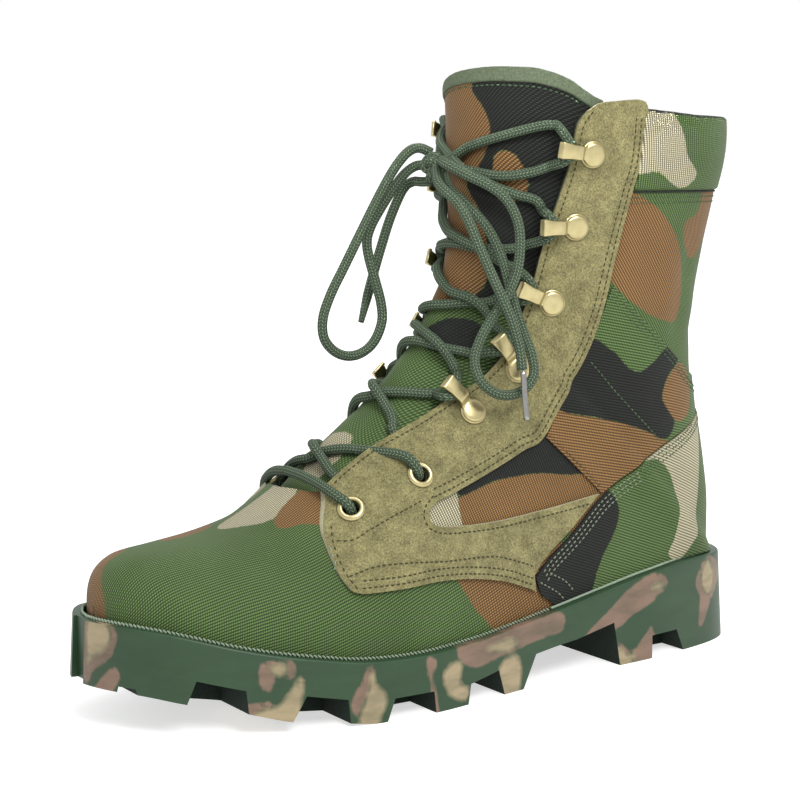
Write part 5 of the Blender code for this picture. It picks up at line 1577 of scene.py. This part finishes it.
def make_hardware():
    for name, side in SIDES:
        for number, (t, arc, turn) in enumerate(lacing_points(side), 1):
            bm = bmesh.new()
            eyelet = number <= EYELET_ROWS
            turned_mesh(bm, EYELET_PROFILE if eyelet else RIVET_PROFILE)
            bmesh.ops.recalc_face_normals(bm, faces=bm.faces)
            if not eyelet:
                strap_mesh(bm)
            bmesh.ops.transform(bm, matrix=frame_at(t, arc, GAP + EYESTAY_THICK + GAP, turn), verts=bm.verts)
            piece = f"eyelet_{name}_{number}" if eyelet else f"hook_{name}_{number - EYELET_ROWS}"
            made = add_object(f"{piece}_brass", to_mesh(bm, f"{piece}_brass"), "champagne_brass")
            smooth(made, SHARP_BRASS)
            keep(made, "hook_brass", piece)


# Stitches and the cord round the sole

# Seams on both sides as outlines in the side chart: thread, rows by their offset to the left of the run, run
SEAMS = (
    ("olive_thread", (2, 4.6), ((-82.4, 226), (-81.2, 209), (-77.8, 196), (-71.6, 169), (-66.9, 147.6),
        (-57.8, 126), (-39.5, 99.6), (-26.4, 93.7), (-9.5, 86.9), (7.7, 81.1), (18, 78.2))),
    ("olive_thread", (2.4,), ((18, 78.2), (22, 75.2), (23, 72), (20.4, 69.6), (11.4, 68.2), (-9.2, 67.7),
        (-32, 69.3), (-58, 71.8))),
    ("olive_thread", (0,), ((25.5, 79.1), (32.9, 76.7), (40.1, 74.4), (49.3, 70.8), (56.7, 67.7),
        (63, 67.6))),
    ("olive_thread", (0,), ((62, 55.6), (50.8, 57.9), (36.6, 57.8), (20.8, 56.2), (4.2, 55.3),
        (-7.3, 54.2), (-19.2, 50.5), (-26, 47.8))),
    ("olive_thread", (2, 4.6), ((-24, 38.8), (-10.5, 43.9), (7.3, 47.6), (24, 49.1), (41.9, 48.7),
        (58.5, 48.8))),
    ("olive_thread", (2.2,), ((63, 50.4), (65.6, 55.1), (66.6, 60.7), (66.1, 67.7), (64, 73))),
    ("pale_cord", (0.6,), ((67, 58), (66.9, 61.5), (66.4, 65.4))),
    ("white_thread", (-1.3, -3.3, -5.3), ((-84, 80.4), (-65.2, 70.8), (-48.4, 58.2), (-34.6, 48.6),
        (-30.4, 44))),
    ("white_thread", (0,), ((-31, 40), (-39.7, 35), (-43.6, 31.6))),
    ("white_thread", (0,), ((-36.4, 43.1), (-44.2, 38.9), (-49.6, 33.6))),
    ("green_thread", (-1.3, -3.3, -5.3), ((-150, 103), (-138, 101.5), (-123.2, 96.6), (-99.8, 88.6),
        (-86, 81.5))),
    ("brown_thread", (-1.8,), ((-40.6, 97), (-52, 86), (-64, 74.5))),
    ("green_thread", (0,), ((-63, 127), (-77.5, 111.5), (-97, 93))),
    ("green_thread", (1.6, 3.8), ((-73, 157.4), (-92.5, 140.2), (-123.7, 118.2), (-158, 109.4))),
    ("green_thread", (0, 2.2), ((-80, 194.6), (-110, 194.4), (-164, 193.6))),
)
# A thin dark tube along the cuff's foot, in the lining's colour: the seam's joint, darkened as a painted
# shadow under the cuff
CUFF_SHADOW_SEAM = ((-80.0, 197.0), (-110.0, 196.6), (-164.6, 195.9))
CUFF_SHADOW_SEAM_RADIUS = 0.45
CUFF_SHADOW_SEAM_RISE = 0.2
CUFF_SHADOW_SEAM_STEP = 1.5
SEAM_STEP = 1.0
SEAM_SIDES = 8
TONGUE_ROW = 0.45
TONGUE_ROW_SPAN = (-24.0, 58.0, 60)
STITCH_PITCH = 2.4
STITCH_HALF = (0.9, 0.34, 0.26)
STITCH_RISE = 0.1
THROAT_ROW = 2.4
THROAT_SPAN = (27.5, 93.0, 200)
RAY_FROM = 150.0
EGG_SIDES = 6
EGG_RINGS = 4


def eggs(name, frames, half):
    """One mesh of many small eggs: rows of centre, long axis and outward axis in millimetres."""
    bm = bmesh.new()
    bmesh.ops.create_uvsphere(bm, u_segments=EGG_SIDES, v_segments=EGG_RINGS, radius=1.0)
    shape = np.array([vert.co for vert in bm.verts]) * half
    faces = [[vert.index for vert in face.verts] for face in bm.faces]
    bm.free()
    centre, along, out = (np.array(column) for column in zip(*frames))
    along = unit(along)
    across = unit(np.cross(out, along))
    axes = np.stack([along, across, np.cross(along, across)], 1)
    points = centre[:, None] + np.einsum("vk,nki->nvi", shape, axes)
    corners = [[k * len(shape) + v for v in face] for k in range(len(centre)) for face in faces]
    mesh = bpy.data.meshes.new(name)
    mesh.from_pydata(metres(points.reshape(-1, 3)).tolist(), [], corners)
    mesh.shade_smooth()
    return mesh


def cloth_surface(names):
    """One search tree over the named pieces, in millimetres."""
    corners, faces = [], []
    for name in names:
        mesh = bpy.data.objects[name].data
        faces += [[v + len(corners) for v in face.vertices] for face in mesh.polygons]
        corners += millimetres(vertices_of(mesh)).tolist()
    return BVHTree.FromPolygons(corners, faces)


def side_hit(tree, u, z, side):
    """The outermost surface at a place of the side chart: point and normal, or nothing."""
    heel_x, heel_y, heel_r = HEEL_TURN
    a = max(0.0, (heel_x - u) / heel_r)
    away = Vector((-math.sin(a), side * math.cos(a), 0.0))
    start = Vector((max(u, heel_x), heel_y, z)) + RAY_FROM * away
    point, normal, _, _ = tree.ray_cast(start, -away)
    if point is None:
        return None
    return np.array(point), np.array(normal if normal.dot(away) > 0 else -normal)


def offset_line(line, offset):
    run = unit(np.gradient(line, axis=0))
    return line + offset * np.stack([-run[:, 1], run[:, 0]], 1)


def stitched(points, normals):
    """Stitch frames along a line of points one pitch apart."""
    run = np.gradient(points, axis=0)
    return list(zip(points + STITCH_RISE * normals, run, normals))


def evenly(line, pitch):
    """A line read again at equal steps of its first three columns, with what the others carry."""
    length = running(line[:, :3])
    at = np.arange(0.0, length[-1], pitch)
    return np.stack([np.interp(at, length, line[:, k]) for k in range(line.shape[1])], 1)


def skin_row(rows, lift):
    """Stitch frames along places and arcs of the upper's own surface."""
    low = np.array([place(t, arc, lift) for t, arc in rows])
    high = np.array([place(t, arc, lift + 1.0) for t, arc in rows])
    line = evenly(np.concatenate([low, high - low], 1), STITCH_PITCH)
    return stitched(line[:, :3], line[:, 3:])


def add_trim(name, mesh, material):
    """A piece that rides on the boot and stands for none of its solids."""
    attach(add_object(name, mesh, material), "root")


def make_stitches():
    """Lockstitch rows, one piece per thread, and a dark tube of painted shadow along the cuff's seam."""
    tree = cloth_surface(("upper_cloth", "eyestay_outer_suede", "eyestay_inner_suede", "heel_counter_cloth",
                          "ankle_band_cloth", "collar_cuff_pad"))
    frames = {}
    for thread, offsets, run in SEAMS:
        for offset in offsets:
            line = evenly(offset_line(spline(run, SEAM_STEP), offset), STITCH_PITCH)
            for side in (1, -1):
                hits = [hit for hit in (side_hit(tree, u, z, side) for u, z in line) if hit]
                frames.setdefault(thread, []).extend(stitched(*(np.array(column) for column in zip(*hits))))
    for side in (1, -1):
        rows = [(t, side * (throat_opening(t, side) + THROAT_ROW)) for t in np.linspace(*THROAT_SPAN)]
        frames["olive_thread"] += skin_row(rows, GAP + EYESTAY_THICK)
    rows = [(tongue_top(arc) - BINDING_TALL - TONGUE_ROW, arc) for arc in np.linspace(*TONGUE_ROW_SPAN)]
    frames["green_thread"] += skin_row(rows, TONGUE_LIFT)
    # The dark tube at the cuff's foot is painted shadow along its seam
    seam = spline(CUFF_SHADOW_SEAM, CUFF_SHADOW_SEAM_STEP)
    ends = [[side_hit(tree, u, z, side) for u, z in seam] for side in (1, -1)]
    line = np.array([point + CUFF_SHADOW_SEAM_RISE * normal for point, normal in ends[0] + ends[1][::-1]])
    add_trim("cuff_seam_shadow", tube_mesh("cuff_seam_shadow", line, CUFF_SHADOW_SEAM_RADIUS, SEAM_SIDES), "brushed_lining")
    for thread, rows in frames.items():
        name = f"stitches_{thread}"
        add_trim(name, eggs(name, rows, STITCH_HALF), thread)


ROPE_INSET = 3.9
ROPE_RISE = 0.5
ROPE_PITCH = 1.7
ROPE_HALF = (1.25, 0.48, 0.55)
ROPE_SLANT = 38.0
ROPE_FROM = -36.0
PIPING_RADIUS = 0.6
UP = np.array((0.0, 0.0, 1.0))


def make_sole_cord():
    """The twisted cord in the joint of vamp and sole, and the plain piping that carries on round the heel."""
    sides = Plan(ROPE_INSET).sides
    outer, inner = (np.array([(x, y, rim(x) + ROPE_RISE) for x, y in side]) for side in sides)
    loop = np.concatenate([outer, inner[::-1]])
    points = evenly(loop[loop[:, 0] >= ROPE_FROM], ROPE_PITCH)
    run = unit(np.gradient(points, axis=0))
    slant = math.radians(ROPE_SLANT)
    frames = [(point, math.cos(slant) * tangent + math.sin(slant) * UP, np.cross(UP, -tangent))
              for point, tangent in zip(points, run)]
    add_trim("sole_cord_twist", eggs("sole_cord_twist", frames, ROPE_HALF), "pale_cord")
    heel = np.concatenate([outer[outer[:, 0] < ROPE_FROM][::-1], inner[inner[:, 0] < ROPE_FROM]])
    piping = tube_mesh("sole_cord_plain", evenly(heel, ROPE_PITCH), PIPING_RADIUS, SEAM_SIDES)
    add_trim("sole_cord_plain", piping, "pale_cord")


# Stage

CAMERA_AT = (0.43624, 0.68263, 0.2147)
CAMERA_HEADING = 31.9
CAMERA_PITCH = 7.126
CAMERA_ROLL = -0.7
CAMERA_LENS = 89.5
FLOOR_HALF = 60.0

# Soft boxes: name, place, what they face, size, power, spread in degrees
BOOT_MIDDLE = (0.0, 0.0, 0.11)
SHAFT_TOP = (-0.06, 0.02, 0.27)
SOFT_BOXES = (
    ("key", (0.2, 1.9, 1.9), BOOT_MIDDLE, 0.9, 56.0, 180.0),
    ("top", (0.0, 0.6, 2.4), BOOT_MIDDLE, 0.9, 16.0, 180.0),
    ("back", (-1.4, -0.9, 1.6), BOOT_MIDDLE, 1.0, 7.0, 180.0),
    ("shaft", (0.75, 0.75, 0.95), SHAFT_TOP, 0.2, 0.11, 11.0),
)
FLOOR_GLOW = 0.6
FLOOR_CELLS = 4


def aim(made, at, ahead, roll=0.0):
    """Puts a camera or lamp in its place, looking ahead, and into the scene."""
    made.location = at
    made.rotation_mode = "QUATERNION"
    rolled = Quaternion((0.0, 0.0, 1.0), math.radians(roll))
    made.rotation_quaternion = ahead.to_track_quat("-Z", "Y") @ rolled
    bpy.context.scene.collection.objects.link(made)


def make_stage():
    scene = bpy.context.scene
    scene.view_settings.view_transform = "Standard"
    camera = bpy.data.objects.new("camera", bpy.data.cameras.new("camera"))
    camera.data.lens = CAMERA_LENS
    a, p = math.radians(CAMERA_HEADING), math.radians(CAMERA_PITCH)
    ahead = Vector((-math.sin(a) * math.cos(p), -math.cos(a) * math.cos(p), -math.sin(p)))
    aim(camera, CAMERA_AT, ahead, CAMERA_ROLL)
    scene.camera = camera
    bm = bmesh.new()
    bmesh.ops.create_grid(bm, x_segments=FLOOR_CELLS, y_segments=FLOOR_CELLS, size=FLOOR_HALF)
    add_object("floor", to_mesh(bm, "floor"), "floor_paper")
    world = bpy.data.worlds.new("studio")
    world.use_nodes = True
    surround = world.node_tree.nodes["Background"]
    fill(world.node_tree, surround, {"Color": WHITE, "Strength": sizes().studio_light})
    scene.world = world
    for name, at, facing, wide, power, spread in SOFT_BOXES:
        lamp = bpy.data.objects.new(name, bpy.data.lights.new(name, "AREA"))
        lamp.data.size = wide
        lamp.data.energy = power
        lamp.data.spread = math.radians(spread)
        aim(lamp, at, Vector(facing) - Vector(at))


# Add-on


def tint(name, description, colour):
    return FloatVectorProperty(name=name, description=description, subtype="COLOR", size=3, min=0.0, max=1.0,
                               default=linear(colour))


def length(name, description, millimetre):
    return FloatProperty(name=name, description=description, unit="LENGTH", min=0.0, default=millimetre * MM)


class BootColours(bpy.types.PropertyGroup):
    """Colours of the boot's materials."""

    leaf_green: tint("Leaf green", "Ground colour of the print", "3d4f2b")
    earth_brown: tint("Earth brown", "Brown of the print", "62492b")
    print_black: tint("Print black", "Black of the print", "161815")
    sand_tan: tint("Sand", "Tan of the print", "85806a")
    suede_olive: tint("Suede", "Olive suede of the eyestays", "6c6747")
    suede_pale: tint("Suede edge", "Raw cut edge of the suede", "89846a")
    rubber_dark: tint("Rubber, dark", "Darker green of the marbled sole", "1a321f")
    rubber_light: tint("Rubber, light", "Lighter green of the marbled sole", "253c23")
    rubber_sand: tint("Rubber, sand", "Tan crumb in the sole", "85785d")
    rubber_pink: tint("Rubber, clay", "Clay pink crumb in the sole", "685446")
    # The tread colour is painted shade for the notches and hollows between the lugs
    rubber_tread_shade: tint("Tread", "Dull rubber between the lugs", "17211a")
    # The lace's dark is painted shade in the braid's gaps, and its pale colour is painted highlight on the
    # yarns' crests
    lace_dark: tint("Lace, dark", "Gaps of the braid", "2a352b")
    lace_green: tint("Lace", "Yarns of the braid", "51614a")
    lace_crest_highlight: tint("Lace fleck", "Pale flecks of the braid", "758268")
    thread_olive: tint("Olive thread", "Stitches of the suede", "363521")
    thread_white: tint("White thread", "Stitches of the counter", "6a7261")
    thread_green: tint("Green thread", "Stitches of the collar and band", "40523a")
    thread_brown: tint("Brown thread", "Stitches of the window", "4e3e29")
    cord_pale: tint("Pale cord", "Cord round the edge of the sole", "758371")
    brass_dark: tint("Brass, dark", "Shaded brass", "9c9066")
    brass_light: tint("Brass, light", "Bright brass", "c6ba8e")
    tip_steel: tint("Tip", "Steel of the lace tip", "8f8f8c")
    tape_green: tint("Tape", "Binding tape", "4f5845")
    lining_dark: tint("Lining", "Lining and insole", "232721")
    floor_white: tint("Floor", "Paper floor", "c2c2c1")


class BootSizes(bpy.types.PropertyGroup):
    """Pattern sizes and light of the boot's scene."""

    rib_pitch: length("Rib pitch", "Spacing of the nylon's ribs", 1.15)
    pick_pitch: length("Pick pitch", "Spacing of the threads across the ribs", 0.8)
    braid_pitch: length("Braid pitch", "Spacing of the lace's yarns", 1.35)
    studio_light: FloatProperty(name="Studio light", description="Strength of the white surround",
                                default=1.0, min=0.0)


class BOOT_OT_stage(bpy.types.Operator):
    """Add the floor, the soft light and the camera"""

    bl_idname = "boot.stage"
    bl_label = "Stage"

    def execute(self, context):
        make_stage()
        return {"FINISHED"}


class BOOT_OT_bow(bpy.types.Operator):
    """Add the tied bow: knot, loops, ends and tip"""

    bl_idname = "boot.bow"
    bl_label = "Bow"

    def execute(self, context):
        make_bow()
        return {"FINISHED"}


class BOOT_OT_lacing(bpy.types.Operator):
    """Run the lace through its eyelets and hooks"""

    bl_idname = "boot.lacing"
    bl_label = "Lacing"

    def execute(self, context):
        make_lacing()
        return {"FINISHED"}


class BOOT_OT_sole(bpy.types.Operator):
    """Add the marbled rubber sole and finish the insole"""

    bl_idname = "boot.sole"
    bl_label = "Sole"

    def execute(self, context):
        make_outsole()
        make_insole()
        return {"FINISHED"}


class BOOT_OT_upper(bpy.types.Operator):
    """Add the printed cloth upper"""

    bl_idname = "boot.upper"
    bl_label = "Upper"

    def execute(self, context):
        make_upper()
        return {"FINISHED"}


class BOOT_OT_overlays(bpy.types.Operator):
    """Add the suede eyestays, the counter and the ankle band"""

    bl_idname = "boot.overlays"
    bl_label = "Overlays"

    def execute(self, context):
        make_overlays()
        return {"FINISHED"}


class BOOT_OT_cuff(bpy.types.Operator):
    """Add the padded collar"""

    bl_idname = "boot.cuff"
    bl_label = "Cuff"

    def execute(self, context):
        make_cuff()
        return {"FINISHED"}


class BOOT_OT_tongue(bpy.types.Operator):
    """Add the padded tongue and its binding"""

    bl_idname = "boot.tongue"
    bl_label = "Tongue"

    def execute(self, context):
        make_tongue()
        return {"FINISHED"}


class BOOT_OT_stitches(bpy.types.Operator):
    """Sew the seams and lay the cord round the sole"""

    bl_idname = "boot.stitches"
    bl_label = "Stitches and cord"

    def execute(self, context):
        make_stitches()
        make_sole_cord()
        return {"FINISHED"}


class BOOT_OT_hardware(bpy.types.Operator):
    """Add the brass hooks and eyelets"""

    bl_idname = "boot.hardware"
    bl_label = "Hooks and eyelets"

    def execute(self, context):
        make_hardware()
        return {"FINISHED"}


STEPS = (
    BOOT_OT_stage,
    BOOT_OT_bow,
    BOOT_OT_lacing,
    BOOT_OT_sole,
    BOOT_OT_upper,
    BOOT_OT_overlays,
    BOOT_OT_cuff,
    BOOT_OT_tongue,
    BOOT_OT_hardware,
    BOOT_OT_stitches,
)


class BOOT_PT_panel(bpy.types.Panel):
    """Lists the steps that dress the boot"""

    bl_idname = "BOOT_PT_panel"
    bl_label = "Combat boot"
    bl_space_type = "VIEW_3D"
    bl_region_type = "UI"
    bl_category = "Boot"

    def draw(self, context):
        for step in STEPS:
            self.layout.operator(step.bl_idname)
        for group in (context.scene.boot_sizes, context.scene.boot_colours):
            for name in group.__annotations__:
                self.layout.prop(group, name)


CLASSES = (BootColours, BootSizes, *STEPS, BOOT_PT_panel)


def register():
    for item in CLASSES:
        bpy.utils.register_class(item)
    bpy.types.Scene.boot_colours = PointerProperty(type=BootColours)
    bpy.types.Scene.boot_sizes = PointerProperty(type=BootSizes)


def unregister():
    del bpy.types.Scene.boot_sizes
    del bpy.types.Scene.boot_colours
    for item in reversed(CLASSES):
        bpy.utils.unregister_class(item)


def main():
    register()
    for step in STEPS:
        group, name = step.bl_idname.split(".")
        getattr(getattr(bpy.ops, group), name)()


if __name__ == "__main__":
    main()
